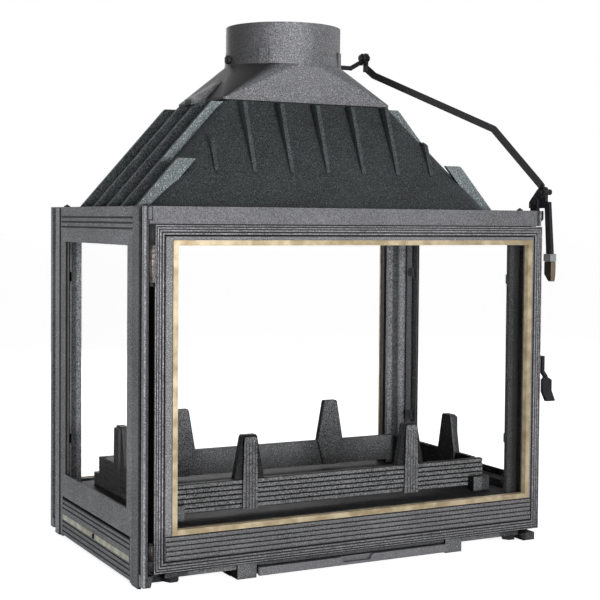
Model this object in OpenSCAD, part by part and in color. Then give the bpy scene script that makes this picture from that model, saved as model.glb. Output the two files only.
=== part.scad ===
// Four-sided cast-iron fireplace insert: glazed body, sloping hood with a round flue
// collar, hinged front door, side-mounted damper lever and sliding ash pan.
// Origin: middle of the body on the plane it stands on. X runs to the right along the
// front, the front faces -Y and Z is up. All sizes are millimetres.

/* [Body] */
// Width over the outer faces of the side castings
body_w = 716; // [680:1:760]
// Depth over the corner pillars
body_d = 454; // [430:1:480]
// Height of the top plate above the floor
body_h = 567; // [540:1:600]
// Height of the pillars' lower ends above the floor
pillar_lift = 6; // [3:0.5:10]
// Width of a corner pillar's outer flange on the front
pillar_flange = 7; // [5:0.5:9]
// Depth of that flange along the side
pillar_side = 17; // [14:0.5:18]
// Depth of a full-height pillar's own flange, with an open slot behind it
flange_d = 10; // [8:0.5:14]
// Thickness of the cast walls behind the doors
web_t = 8; // [5:0.5:10]
// Reach of a pillar's web in from the side
web_reach = 46; // [40:1:50]
// Height of the lintel band above the doors
lintel_h = 26; // [20:0.5:32]
// Thickness of the top plate
top_t = 8; // [6:0.5:10]
// Distance of a tie rod from the side face
rod_in_x = 17; // [15:0.5:20]
// Distance of a tie rod from the pillar's front face
rod_in_y = 38; // [36:0.5:42]
// Radius of a tie rod
rod_r = 3; // [2.5:0.5:4]

/* [Doors and glass] */
// How far the door's latch edge stands past the side face
door_over = 2; // [0:0.5:4]
// Height of the doors' lower edge above the floor
door_lift = 25; // [18:0.5:30]
// Thickness of a door casting
door_t = 26; // [22:0.5:30]
// How far the door's face stands proud of the pillars
door_proud = 2; // [0:0.5:4]
// Gap under the lintel
door_gap = 1; // [0.5:0.5:3]
// Width of the hinge-side stile up to the brass trim
stile_hinge = 28.5; // [24:0.5:34]
// Width of the latch-side stile up to the brass trim
stile_latch = 22; // [18:0.5:28]
// Width of the rear frame's stiles beside the brass
stile_rear = 20.5; // [20:0.5:28]
// Height of the top rail up to the brass trim
rail_top = 23; // [20:0.5:30]
// Height of the bottom rail up to the brass trim
rail_bottom = 55; // [50:0.5:64]
// Width of the brass trim's face
trim_face = 8; // [6:0.5:10]
// Depth of the brass trim's return into the opening
trim_return = 10; // [6:0.5:13]
// Thickness of the brass strip
trim_t = 1; // [0.8:0.1:1.5]
// Distance from the opening's left edge to the joint of the trim's halves
trim_split = 392; // [300:1:450]
// Thickness of a glass pane
glass_t = 5; // [4:0.5:6]
// How far a pane laps behind its frame
glass_lap = 8; // [6:0.5:8.5]
// Thickness of the casting in front of a door pane
glass_set = 14; // [12:0.5:16]
// Width of the door's rope seal
rope_w = 5; // [4:0.5:5.5]
// Depth of the channel that holds the rope
rope_in = 3.7; // [3:0.1:5]
// Width of the rim behind a door's face
rim = 15; // [13:0.5:16]
// Thickness of the tape between a pane and its casting
tape_t = 1; // [0.5:0.1:2]

/* [Door hinge and latch] */
// Radius of a hinge knuckle
knuckle_r = 4.5; // [4:0.1:4.8]
// Radius of a hinge pin
hinge_pin_r = 2.5; // [2:0.1:3]
// Length of the upper hinge on the pillar
hinge_upper_l = 30; // [20:1:40]
// Length of the upper knuckle on the door
hinge_door_l = 55; // [40:1:70]
// Radius of the bolts that hold the rear frame
rear_bolt_r = 3; // [2.5:0.5:4]
// Height of the latch pivot above the floor
latch_z = 307; // [250:1:380]
// Thickness of the latch plate
latch_t = 6; // [4:0.5:8]
// Distance of the keeper stud behind the latch pivot
keeper_dy = 27; // [24:0.5:36]
// Radius of the keeper stud
keeper_r = 4; // [3:0.5:5]
// Length of the latch grip below the pivot
latch_drop = 62; // [50:1:80]
// Width of the latch grip
grip_w = 19; // [12:0.5:22]

/* [Side castings] */
// Width of a side pilaster
pilaster_w = 42; // [38:1:48]
// Width of a pilaster's raised outer strip
strip_w = 29; // [24:1:34]
// Gap between pillar and pilaster
pilaster_gap = 3; // [2:0.5:5]
// Half the width of the side window
side_open = 150; // [130:1:160]
// Height of the side window's sill
sill_z = 110; // [100:1:125]
// Height of the rail over the side window
side_rail = 59; // [52:1:70]
// Height of the sill casting's lower edge
side_low = 69.5; // [66:0.5:75]
// Thickness of a side casting
side_t = 14; // [12:0.5:16]
// How far the panels lie behind the pilasters
panel_back = 2; // [1:0.5:3]
// Top of the fluted panel under the sill
skirt_top = 66; // [60:0.5:68]
// Bottom of the fluted panel under the sill
skirt_low = 3; // [2:0.5:10]
// Height of the brass strip's centre line
strip_z = 35.5; // [30:0.5:40]
// Height of the brass strip
strip_h = 9; // [6:0.5:12]
// Gap between the end of a brass strip and the pilaster
strip_gap = 1; // [0.5:0.5:6]

/* [Hearth] */
// Height of the hearth floor
floor_z = 85; // [80:1:95]
// Thickness of the hearth floor
floor_t = 9; // [6:0.5:12]
// Half the length of the grate opening
grate_x = 130; // [100:1:150]
// Half the width of the grate opening
grate_y = 70; // [50:1:90]
// Half the width of the ash pan's lip
pan_lip = 171; // [150:1:190]
// Height of the ash pan
pan_h = 14.5; // [10:0.5:15]
// How far the ash pan's lip stands in front of the pillars
pan_out = 6; // [2:0.5:12]
// Thickness of the ash pan's lip
pan_lip_t = 6; // [4:0.5:8]
// Depth of the ash pan from front to back
pan_d = 370; // [300:1:390]
// Wall of the ash pan
pan_t = 2; // [1.5:0.5:3]
// Thickness of the bottom plate under the ash pan
under_t = 3; // [2:0.5:3.5]
// Half the spacing of the floor anchor holes along X
anchor_x = 191; // [186:1:198]
// Half the spacing of the floor anchor holes along Y
anchor_y = 150; // [120:1:165]
// Radius of a floor anchor hole
anchor_r = 4.5; // [3:0.5:5.5]
// Distance of a levelling bolt from the side face
level_in_x = 50; // [48:1:60]
// Distance of a levelling bolt from the pillar's front face
level_in_y = 14; // [12:1:16]
// Radius of a levelling bolt
level_r = 4; // [3:0.5:5]

/* [Log fence] */
// Height of a fence bar
bar_h = 46; // [36:1:56]
// Height of the bar's lower edge above the hearth
bar_lift = 7; // [5:0.5:12]
// Thickness of a fence casting
bar_t = 12; // [8:0.5:14]
// Distance from the ends of the front and rear bars to the side castings
bar_end = 47; // [40:1:60]
// Distance from the body's middle to the front bar's face
bar_front = 151; // [145:1:160]
// Distance from the body's middle to the rear bar's face
bar_rear = 143; // [135:1:155]
// Half the distance between the posts
post_x = 150; // [120:1:180]
// Height of a post over the hearth
post_h = 127; // [110:1:150]
// Width of a post at its foot
post_w = 27; // [22:1:36]

/* [Hood and flue] */
// Half the width of the hood at its foot
hood_x = 312; // [290:1:318]
// Front edge of the hood's foot
hood_front = -149; // [-160:1:-140]
// Rear edge of the hood's foot
hood_rear = 172; // [160:1:180]
// Half the width of the hood at the top
hood_top_x = 155; // [140:1:170]
// Front edge of the hood's top
hood_top_front = -57; // [-70:1:-50]
// Rear edge of the hood's top
hood_top_rear = 148; // [140:1:158]
// Height of the hood over the top plate
hood_h = 177; // [160:1:200]
// Wall of the hood
hood_wall = 6; // [5:0.5:8]
// Reach of the smoke baffle in front of the body's middle
baffle_front = 95; // [80:1:105]
// Spacing of the smoke baffle's ribs
baffle_pitch = 100; // [80:1:110]
// How far a side fin stands out, measured level
fin_out = 19; // [12:1:24]
// Thickness of a side fin
fin_t = 6; // [4:0.5:8]
// Spacing of the side fins
fin_pitch = 67; // [60:1:70]
// Place of the front fin
fin_first = -119; // [-125:1:-110]
// Place of the lug that bolts the cap to the hood
lug_y = 27; // [20:1:34]
// How far the lugs stand out from the hood's top
lug_out = 29; // [24:1:32]
// Spacing of the ribs on the front slope
rib_pitch = 67; // [56:1:70]
// Thickness of the wedge fins on the front slope
rib_t = 7; // [5:0.5:9]
// How far the long wedge fins stand proud at their top
rib_out = 21; // [15:0.5:24]
// Sideways shift of the row of wedge fins
rib_shift = 5; // [-5:0.5:8]
// Distance of the flue axis behind the body's middle
flue_y = 41; // [36:1:46]
// Outer radius of the flue collar
collar_r = 99.5; // [97:0.5:101]
// Inner radius that takes the flue pipe
collar_bore = 92; // [88:0.5:93]
// Height of the sloping cap between the hood and the collar
cap_h = 66; // [60:1:72]
// Height of the collar
collar_h = 68.5; // [60:0.5:80]

/* [Damper control] */
// Height of the damper spindle above the collar's foot
spindle_up = 10; // [8:0.5:12]
// Radius of the spindle
spindle_r = 4; // [3:0.5:5]
// Level and upright reach of the crank, the same at both ends of the link
crank = 17; // [14:0.5:20]
// Place along X where the spindle bends into the crank
bend_x = 136; // [125:1:145]
// Width of the link bar
link_w = 12; // [9:0.5:14]
// Thickness of the link bar
link_t = 4; // [3:0.5:5]
// Radius of the linkage pins
link_pin_r = 3; // [2.5:0.5:4]
// Thickness of the lever
lever_t = 6; // [4:0.5:8]
// Width of the lever's hanging arm
lever_w = 14; // [10:0.5:18]
// Lever pivot behind the door's face plane
pivot_in = 24; // [22:1:28]
// Height of the lever pivot over the top plate
pivot_up = 15; // [13:0.5:18]
// Lever arm in front of the door's face plane
arm_out = 11; // [9:0.5:14]
// Length of the lever's arm below the top plate
arm_drop = 88; // [60:1:110]

/* [Hidden] */
$fn = 48;
eps = 0.01;
// Running clearance of pins, and the gap kept between separate castings
run = 0.05;
gap = 0.3;
fast_gap = 0.1;

// Planes of the body
side_x = body_w / 2;
front_y = -body_d / 2;
seat_y = front_y + web_t * 3.25;
top_z = body_h;
lintel_z = body_h - lintel_h;
rod_x = side_x - rod_in_x;
rod_y = body_d / 2 - rod_in_y;
boss_r = rod_r + 6;
leg_in = 5;
leg_t = 4;
web_in = side_x - web_reach;
head_z = top_z - side_rail;

// Planes of a door
door_l = -side_x + pillar_flange + 9;
door_r = side_x + door_over;
door_face = front_y - door_proud;
door_back = door_face + door_t;
door_top = lintel_z - door_gap;
door_low = door_lift;
open_l = door_l + stile_hinge + trim_face;
open_r = door_r - stile_latch - trim_face;
open_top = door_top - rail_top - trim_face;
open_low = door_low + rail_bottom + trim_face;
front_bay = [door_l, door_r, open_l, open_r];
rear_open = -door_l - stile_rear - trim_face;
rear_bay = [door_l, -door_l, -rear_open, rear_open];
glass_y = door_face + glass_set;
pane_y = glass_y + tape_t;

// How far the rear frame's bolts go into the pillars
bolt_in = 5;

// Hinge axis
hinge_x = door_l - 4;
hinge_y = front_y + 1;
hinge_low_z = door_low + 20;

// Latch pivot
latch_x = door_r + 1.3;
latch_y = door_face + 12;

// Side planes
panel_x = side_x - panel_back;
inner_x = side_x - side_t;
pil_front = front_y + pillar_side + pilaster_gap;
pil_rear = -door_back - 0.5;
skirt_y = -pil_front - pilaster_w - gap;
strip_end = skirt_y - strip_gap;
ledge_z = head_z + glass_lap + 9;
thin_x = side_x - leg_in + gap;
jamb_y = rod_y - boss_r - 2;
bar_x = inner_x - bar_end;

// Hood slopes
hood_z = top_z + hood_h;
collar_z = hood_z + cap_h;
rim_z = collar_z + collar_h;
spindle_z = collar_z + spindle_up;
side_slope = (hood_x - hood_top_x) / hood_h;
front_slope = (hood_top_front - hood_front) / hood_h;
rear_slope = (hood_rear - hood_top_rear) / hood_h;

// Ash pan
pan_z = under_t + 0.5;
pan_half = pan_lip - 5;
pan_top = pan_z + pan_h + 0.8;
pan_y = front_y - pan_out + pan_lip_t;
guide_x = pan_lip + 1.5;
guide_w = 32;

// Damper linkage: the lever's crank and the spindle's crank are equal and parallel
spindle = [0, flue_y, spindle_z];
crank_pin = [0, flue_y - crank, spindle_z + crank];
pivot_y = door_face + pivot_in;
pivot_z = top_z + pivot_up;
lever_pin = [0, pivot_y - crank, pivot_z + crank];
lever_x = side_x + 6;
link_low_x = lever_x - link_t - 0.5;
link_top_x = bend_x + 19;
eye_r = 9;
arm_y = door_face - arm_out;

iron = [0.27, 0.27, 0.29];
dark_iron = [0.17, 0.18, 0.18];
brass = [0.80, 0.71, 0.50];
steel = [0.55, 0.55, 0.56];
pane = [0.80, 0.88, 0.90, 0.35];
fibre = [0.75, 0.73, 0.68];

// A box between two corners
module box(a, b) {
    translate([min(a[0], b[0]), min(a[1], b[1]), min(a[2], b[2])])
        cube([abs(b[0] - a[0]), abs(b[1] - a[1]), abs(b[2] - a[2])]);
}

// A level rod along X between two stations
module rod_x_axis(x0, x1, y, z, r) {
    translate([x0, y, z]) rotate([0, 90, 0]) cylinder(h = x1 - x0, r = r);
}

// The same on both sides, or front and back
module both_x() { children(); mirror([1, 0, 0]) children(); }
module both_y() { children(); mirror([0, 1, 0]) children(); }
module at_corners(x, y) {
    for (sx = [-1, 1], sy = [-1, 1]) translate([sx * x, sy * y, 0]) children();
}

// A hexagon head or nut standing on z = 0, across corners 2r
module hex(r, h) { cylinder(h = h, r = r, $fn = 6); }

// Corner pillars

// Web, leg and tie-rod boss of the front left corner, from the foot to the top plate
module pillar_core(leg) {
    z0 = pillar_lift;
    h = top_z - top_t - z0;
    difference() {
        union() {
            box([-side_x + leg_in, seat_y, z0], [-web_in, seat_y + web_t, z0 + h]);
            if (leg)
                box([-side_x + leg_in, front_y + flange_d - eps, z0],
                    [-side_x + leg_in + leg_t, seat_y + web_t, z0 + h]);
            translate([-rod_x, -rod_y, z0]) cylinder(h = h, r = boss_r);
        }
        translate([-rod_x, -rod_y, 0]) cylinder(h = body_h, r = rod_r + fast_gap);
    }
}

// Hinge-side pillar: full-height flange, foot and the two hinge lugs
module pillar_hinge_side(lugs) {
    pillar_core(true);
    flange_in = -side_x + pillar_flange;
    box([-side_x, front_y, pillar_lift], [flange_in, front_y + flange_d, top_z]);
    foot_top = door_low - 2;
    translate([0, front_y + pillar_side, 0]) rotate([90, 0, 0])
        linear_extrude(pillar_side)
            polygon([[-side_x, pillar_lift], [-side_x + 12, pillar_lift],
                     [-side_x + 16, foot_top], [-side_x, foot_top]]);
    if (lugs) {
        hinge_lug(door_top - hinge_upper_l, door_top);
        hinge_lug(hinge_low_z - 14, hinge_low_z);
    }
}

// A knuckle that stands on the pillar, joined to the flange
module hinge_lug(z0, z1) {
    difference() {
        union() {
            translate([hinge_x, hinge_y, z0]) cylinder(h = z1 - z0, r = knuckle_r);
            box([-side_x + pillar_flange - 1, hinge_y + 1, z0],
                [hinge_x, hinge_y + knuckle_r, z1]);
        }
        translate([hinge_x, hinge_y, z0 - 1])
            cylinder(h = z1 - z0 + 2, r = hinge_pin_r + run);
    }
}

// Latch-side pillar: the door closes over it, so only its head and foot reach the front
module pillar_latch_side() {
    pillar_core(false);
    head_z0 = lintel_z;
    flange_in = -side_x + pillar_flange;
    box([-side_x, front_y, head_z0], [flange_in, front_y + pillar_side, top_z]);
    box([-side_x + leg_in, front_y, head_z0],
        [flange_in, seat_y + web_t, top_z - top_t]);
    translate([0, seat_y + eps, 0]) rotate([90, 0, 0])
        linear_extrude(seat_y - front_y + eps)
            polygon([[-side_x + leg_in, pillar_lift], [-side_x + 28, pillar_lift],
                     [-side_x + 34, door_low - 6], [-side_x + leg_in, door_low - 6]]);
}

module pillar_front_left() { color(iron) pillar_hinge_side(true); }
module pillar_front_right() {
    color(iron) difference() {
        mirror([1, 0, 0]) pillar_latch_side();
        bracket_bolt_holes();
    }
}
module pillar_rear_left() {
    color(iron) difference() {
        mirror([0, 1, 0]) pillar_hinge_side(false);
        rear_bolt_holes();
    }
}
module pillar_rear_right() {
    color(iron) difference() {
        rotate([0, 0, 180]) pillar_hinge_side(false);
        rear_bolt_holes();
    }
}

// Side castings

// Outline of the left side casting seen from the side, as boxes along X
module side_frame() {
    difference() {
        union() {
            // Rail, sill and jambs
            box([-panel_x, -jamb_y, side_low], [-inner_x, jamb_y, top_z]);
            box([-panel_x, pil_front, side_low], [-thin_x, pil_rear, top_z]);
            // Pilasters down to the floor
            side_pilaster(pil_front);
            mirror([0, 1, 0]) side_pilaster(-pil_rear);
            // Ledges that carry the smoke baffle
            both_y() box([-inner_x - eps, 70, ledge_z - 8], [-inner_x + 14, 100, ledge_z]);
            // Sloping inner sill
            translate([0, side_open + 8, 0]) rotate([90, 0, 0])
                linear_extrude(2 * side_open + 16)
                    polygon([[-inner_x - 1, floor_z + gap], [-inner_x + 8, floor_z + gap],
                             [-inner_x + 8, sill_z - 14], [-inner_x - 1, sill_z - 9]]);
        }
        // Window, with a bevelled sill
        box([-side_x - 1, -side_open, sill_z], [-inner_x + 20, side_open, head_z]);
        translate([0, side_open, 0]) rotate([90, 0, 0]) linear_extrude(2 * side_open)
            polygon([[-panel_x + 3, sill_z - 4], [-panel_x + 3, sill_z + 1],
                     [-inner_x - glass_t, sill_z + 1], [-inner_x - glass_t, sill_z - 1.5]]);
        // Rabbet for the pane
        box([-inner_x - glass_t - gap, -side_open - glass_lap - gap, sill_z - glass_lap - gap],
            [-inner_x + eps, side_open + glass_lap + gap, head_z + glass_lap + gap]);
        // Three grooves along the rail
        for (z = [top_z - 17, top_z - 25, top_z - 33.5])
            box([-side_x - 1, -jamb_y + 6, z - 1.2], [-panel_x + 1.5, jamb_y - 6, z + 1.2]);
    }
}

module side_pilaster(y0) {
    y1 = pil_front + pilaster_w;
    // Outer strip with a chamfered front edge, thin where the pillar's leg passes
    linear_extrude(top_z - 2)
        polygon([[-thin_x, y0], [-side_x + 2, y0], [-side_x, y0 + 2.5],
                 [-side_x, pil_front + strip_w], [-panel_x, pil_front + strip_w + 2.5],
                 [-panel_x, y1], [-thin_x, y1]]);
}

module side_frame_left() { color(iron) side_frame(); }
module side_frame_right() {
    color(iron) difference() {
        rotate([0, 0, 180]) side_frame();
        bracket_bolt_holes();
    }
}

module side_glass_left() {
    color(pane)
        box([-inner_x - glass_t, -side_open - glass_lap, sill_z - glass_lap],
            [-inner_x, side_open + glass_lap, head_z + glass_lap]);
}
module side_glass_right() { color(pane) mirror([1, 0, 0]) side_glass_left(); }

// Two steel clips with screws on each upright edge of the panes
module side_glass_clips() {
    color(steel) both_x() for (y = [-1, 1], z = [sill_z + 60, head_z - 60])
        translate([-inner_x, y * (side_open + glass_lap + 1), z]) {
            box([0, -9, -8], [2.5, 9, 8]);
            translate([2.5 - eps, y * 3, 0]) rotate([0, 90, 0]) cylinder(h = 3, r = 4);
        }
}

// Fluted panel under the sill, with the slot for the brass strip
module skirt() {
    y1 = skirt_y + 1;
    x0 = -panel_x;
    difference() {
        box([x0, -skirt_y, skirt_low], [x0 + 7, skirt_y, skirt_top]);
        for (z = [skirt_top - 8, skirt_top - 16, strip_z - 8.5, strip_z - 16.5, strip_z - 25])
            box([x0 - 1, -y1, z - 1.3], [x0 + 1.8, y1, z + 1.3]);
        box([x0 - 1, -strip_end - 0.5, strip_z - strip_h / 2],
            [x0 + 1.5, strip_end + 0.5, strip_z + strip_h / 2]);
        rod_x_axis(x0 - 1, x0 + 9, 0, strip_z, 2.6);
    }
}
module skirt_left() { color(iron) skirt(); }
module skirt_right() { color(iron) rotate([0, 0, 180]) skirt(); }

// Two brass strips end to end on each side, with room for the stud between them
module skirt_brass() {
    x0 = -panel_x;
    h = strip_h / 2 - fast_gap;
    color(brass) both_x() both_y()
        box([x0 - 0.8, 4.5, strip_z - h], [x0 + 1.5, strip_end, strip_z + h]);
}

module skirt_studs() {
    color(dark_iron) both_x() {
        rod_x_axis(-panel_x + 1.5 - eps, -panel_x + 9, 0, strip_z, 2.5);
        rod_x_axis(-panel_x - 2.5, -panel_x + 1.5, 0, strip_z, 3.8);
    }
}

// Top plate with its lintel bands, the seat flanges behind them and the hood opening
module top_plate() {
    lip_x = side_x - pillar_flange - 1;
    plate_x = inner_x - gap;
    color(iron) difference() {
        union() {
            box([-plate_x, front_y + 4, top_z - top_t], [plate_x, -front_y - 4, top_z]);
            both_y() {
                box([-lip_x, front_y, lintel_z], [lip_x, front_y + web_t, top_z]);
                box([-web_in + 1, seat_y, head_z + 3],
                    [web_in - 1, seat_y + web_t, top_z - top_t + eps]);
            }
        }
        box([-hood_x + 16, hood_front + 14, top_z - top_t - 1],
            [hood_x - 16, hood_rear - 14, top_z + 1]);
        at_corners(rod_x, rod_y)
            translate([0, 0, top_z - top_t - 1]) cylinder(h = top_t + 2, r = rod_r + fast_gap);
    }
}

module tie_rods() {
    color(steel) at_corners(rod_x, rod_y) {
        translate([0, 0, pillar_lift + 1]) cylinder(h = top_z + 1.5 - pillar_lift, r = rod_r);
        translate([0, 0, top_z + 2.5 - eps]) cylinder(h = 2, r1 = rod_r, r2 = 1.6);
    }
}

module tie_rod_nuts() {
    color(dark_iron) at_corners(rod_x, rod_y) difference() {
        translate([0, 0, top_z]) hex(5.6, 2.4);
        cylinder(h = top_z + 6 + fast_gap, r = rod_r + fast_gap);
    }
}

// Ribbed plate that rests on the ledges inside and turns the smoke forward
module smoke_baffle() {
    z0 = ledge_z;
    color(dark_iron) {
        box([-inner_x + 4, -baffle_front, z0], [inner_x - 4, rod_y - boss_r - 1, z0 + top_t]);
        for (i = [-2:2])
            box([i * baffle_pitch - 4, -baffle_front + 15, z0 + top_t - eps],
                [i * baffle_pitch + 4, rod_y - boss_r - 30, z0 + top_t + 5]);
    }
}

// Hood

// A level rounded rectangle, used at the foot and the top of a sloping shell
module round_slab(x, y0, y1, z, r) {
    for (sx = [-1, 1], y = [y0 + r, y1 - r])
        translate([sx * (x - r), y, z]) cylinder(h = eps, r = r, $fn = 32);
}

module hood_solid(inset, extra) {
    dz = extra;
    hull() {
        round_slab(hood_x - inset + side_slope * dz, hood_front + inset - front_slope * dz,
                   hood_rear - inset + rear_slope * dz, top_z - dz, 34);
        round_slab(hood_top_x - inset - side_slope * dz, hood_top_front + inset + front_slope * dz,
                   hood_top_rear - inset - rear_slope * dz, hood_z + dz, 10);
    }
}

// One side fin; level top at height z1
module fin(y, z1) {
    y0 = y + fin_t / 2;
    x_at = function(z, out) -hood_x - out + side_slope * (z - top_z);
    translate([0, y0, 0]) rotate([90, 0, 0]) linear_extrude(fin_t)
        polygon([[x_at(top_z, fin_out), top_z], [x_at(z1 - 3, fin_out), z1 - 3],
                 [x_at(z1, fin_out) + 1, z1], [x_at(z1, -12), z1],
                 [x_at(top_z, -12), top_z]]);
}

// Wedge fin up the front slope between two heights, flush below and proud at its top
module slope_rib(x, z1, out, fall) {
    z0 = top_z + 57;
    y_at = function(z) hood_front + front_slope * (z - top_z);
    translate([x - rib_t / 2, 0, 0]) rotate([90, 0, 90]) linear_extrude(rib_t)
        polygon([[y_at(z0) - 1.5, z0 + 1], [y_at(z1) - out, z1 - fall - 2],
                 [y_at(z1) - out + 1.5, z1 - fall], [y_at(z1), z1], [y_at(z1) + 4, z1],
                 [y_at(z0) + 4, z0 - 1]]);
}

module hood() {
    color(dark_iron) difference() {
        union() {
            hood_solid(0, 0);
            both_x() {
                fin(fin_first, top_z + 76);
                for (i = [1:4]) fin(fin_first + i * fin_pitch, hood_z - 4);
                // Lug that takes the cap's bolt
                box([-hood_top_x - lug_out, lug_y - 14, hood_z - 5],
                    [-hood_top_x + 4, lug_y + 14, hood_z - eps]);
            }
            for (i = [-2:2]) slope_rib(rib_shift + i * rib_pitch, hood_z - 3, rib_out, 0);
            for (sx = [-3, 3]) slope_rib(rib_shift + sx * rib_pitch, top_z + 117, 13, 5);
        }
        hood_solid(hood_wall, 0.5);
        both_x() translate([-hood_top_x - 16, lug_y, hood_z - 12])
            cylinder(h = 14, r = 3 + fast_gap);
        box([-body_w, -body_d, top_z - 60], [body_w, body_d, top_z]);
        box([-body_w, -body_d, hood_z], [body_w, body_d, hood_z + 60]);
    }
}

// Square-to-round cap and collar in one casting
module cap_foot(inset, h) {
    x = hood_top_x + 3 - inset;
    hull() for (sx = [-1, 1]) {
        translate([sx * (x - 8), hood_top_front - 2 + inset + 8, 0]) cylinder(h = h, r = 8, $fn = 32);
        translate([sx * (x - 18), hood_top_rear - 2 - inset - 18, 0]) cylinder(h = h, r = 18, $fn = 48);
    }
}

module cap_solid(inset, r, z0, z1) {
    hull() {
        translate([0, 0, z0]) cap_foot(inset, eps);
        translate([0, flue_y, z1]) cylinder(h = eps, r = r, $fn = 96);
    }
}

module flue_cap() {
    bore_z = rim_z - 48;
    lug_x = hood_top_x + lug_out;
    color(iron) difference() {
        union() {
            cap_solid(0, collar_r + 1, hood_z + 4, collar_z + 1);
            translate([0, 0, hood_z]) cap_foot(0, 4 + eps);
            translate([0, flue_y, 0]) rotate_extrude($fn = 96)
                polygon([[60, collar_z - 14], [collar_r - 2, collar_z - 14],
                         [collar_r + 2.5, collar_z], [collar_r, rim_z - 40],
                         [collar_r, rim_z], [60, rim_z]]);
            // Four cast pads round the collar's foot
            for (a = [45:90:315]) translate([0, flue_y, collar_z - 3]) rotate([0, 0, a])
                box([collar_r - 6, -8.5, 0], [collar_r + 3.2, 8.5, 28]);
            // Bolting lugs under solid gussets on the sloping sides
            both_x() {
                box([-lug_x, lug_y - 14, hood_z], [-hood_top_x, lug_y + 14, hood_z + 3.5]);
                translate([0, lug_y + 14, 0]) rotate([90, 0, 0]) linear_extrude(28)
                    polygon([[-lug_x, hood_z + 3], [-lug_x, hood_z + 4.5], [-131, hood_z + 36],
                             [-124, hood_z + 36], [-hood_top_x + 12, hood_z + 3]]);
            }
        }
        cap_solid(hood_wall + 2.5, collar_bore - 6, hood_z - 0.5, collar_z - 6);
        translate([0, flue_y, collar_z - 30]) cylinder(h = 2 * collar_h, r = collar_bore - 3, $fn = 96);
        translate([0, flue_y, bore_z]) cylinder(h = 100, r = collar_bore, $fn = 96);
        rod_x_axis(-body_w / 2, body_w / 2, flue_y, spindle_z, spindle_r + run);
        both_x() translate([-hood_top_x - 16, lug_y, hood_z - 1])
            cylinder(h = 8.5, r = 3 + fast_gap);
    }
}

module cap_bolts() {
    color(steel) both_x() translate([-hood_top_x - 16, lug_y, hood_z - 9.5]) {
        cylinder(h = 16, r = 3);
        hex(5.6, 4.3);
    }
}

// Hearth

module hearth_base() {
    x1 = inner_x - 1;
    y1 = -seat_y - web_t - 1;
    notch_x = rod_x - boss_r - 1;
    notch_y = rod_y - boss_r - 1;
    front_in = web_in - 1;
    floor_low = floor_z - floor_t - gap;
    color(iron) {
        // Floor with the grate opening and its ledge
        difference() {
            box([-x1, -y1, floor_z - floor_t], [x1, y1, floor_z]);
            hearth_corners(notch_x, notch_y);
            box([-grate_x, -grate_y, 40], [grate_x, grate_y, floor_z + 1]);
            box([-grate_x - 8, -grate_y - 8, floor_z - 5], [grate_x + 8, grate_y + 8, floor_z + 1]);
        }
        // Side walls
        both_x() box([-x1, -notch_y + gap, under_t], [-x1 + 6, notch_y - gap, floor_low]);
        // Walls and aprons under the doors
        difference() {
            both_y() {
                box([-front_in, seat_y, door_low - 9], [front_in, -y1 - gap, floor_z]);
                box([-notch_x, -y1, door_low - 9], [notch_x, -y1 + 6, floor_low]);
                box([-front_in + 1, -y1 - 2, door_low - 9], [front_in - 1, -y1 + 2, floor_low]);
                box([-side_x + 36, front_y + 5, door_low - 9],
                    [side_x - 36, seat_y - gap, door_low - 2]);
                box([-front_in, front_y + 5, door_low - 9], [front_in, seat_y + 1, door_low - 2]);
            }
            hearth_corners(notch_x, notch_y);
            box([-guide_x, front_y - 1, under_t], [guide_x, seat_y + 20, pan_top]);
            for (sx = [-1, 1])
                box([sx * (guide_x - 1), front_y, 0],
                    [sx * (guide_x + guide_w + gap), seat_y + 13, door_low - 1 + gap]);
            at_corners(side_x - level_in_x, -front_y - level_in_y)
                cylinder(h = door_low, r = level_r + fast_gap);
        }
        // Bottom plate of the ash pan's channel, with the holes for anchoring to the floor
        difference() {
            box([-guide_x - guide_w, front_y + 30, 0], [guide_x + guide_w, 175, under_t]);
            at_corners(anchor_x, anchor_y)
                translate([0, 0, -1]) cylinder(h = under_t + 2, r = anchor_r);
        }
        // Cheeks at its mouth, guides, end wall and cross ribs
        both_x() {
            box([-guide_x - guide_w, front_y + 2, 1], [-guide_x, front_y + 30 - gap, door_low - 1]);
            box([-guide_x - 6, front_y + 30, under_t + gap], [-guide_x, 168.7, floor_low]);
            for (y = [-120, 120])
                box([-x1 + 6 + gap, y - 4, under_t + gap], [-guide_x - 6 - gap, y + 4, floor_low]);
        }
        box([-guide_x, 169, under_t + gap], [guide_x, 175, floor_low]);
        // Stops that hold the fence
        fence_stops();
    }
}

// Corners cleared for the pillars
module hearth_corners(x, y) {
    for (sx = [-1, 1], sy = [-1, 1])
        box([sx * x, sy * y, pillar_lift - 1], [sx * body_w, sy * body_d, floor_z + 1]);
}

module fence_stops() {
    for (sx = [-1, 1]) {
        box([sx * (bar_x - 29), -bar_front - 16, floor_z + gap],
            [sx * (bar_x + 3), -bar_front - gap, floor_z + 24]);
        box([sx * (bar_x - 29), bar_rear + gap, floor_z + gap],
            [sx * (bar_x + 3), bar_rear + 16, floor_z + 24]);
    }
}

module fire_grate() {
    color(dark_iron) difference() {
        box([-grate_x - 7, -grate_y - 7, floor_z - 5], [grate_x + 7, grate_y + 7, floor_z + 3]);
        for (x = [-grate_x + 12:14:grate_x - 12])
            box([x - 4, -grate_y + 6, 0], [x + 4, -5, floor_z + 10]);
        for (x = [-grate_x + 12:14:grate_x - 12])
            box([x - 4, 5, 0], [x + 4, grate_y - 6, floor_z + 10]);
    }
}

module levelling_bolts() {
    color(dark_iron) at_corners(side_x - level_in_x, -front_y - level_in_y) {
        translate([0, 0, door_low - 16]) hex(12, 7);
        translate([0, 0, door_low - 10]) cylinder(h = 8, r = level_r);
    }
}

// Log fence

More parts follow.
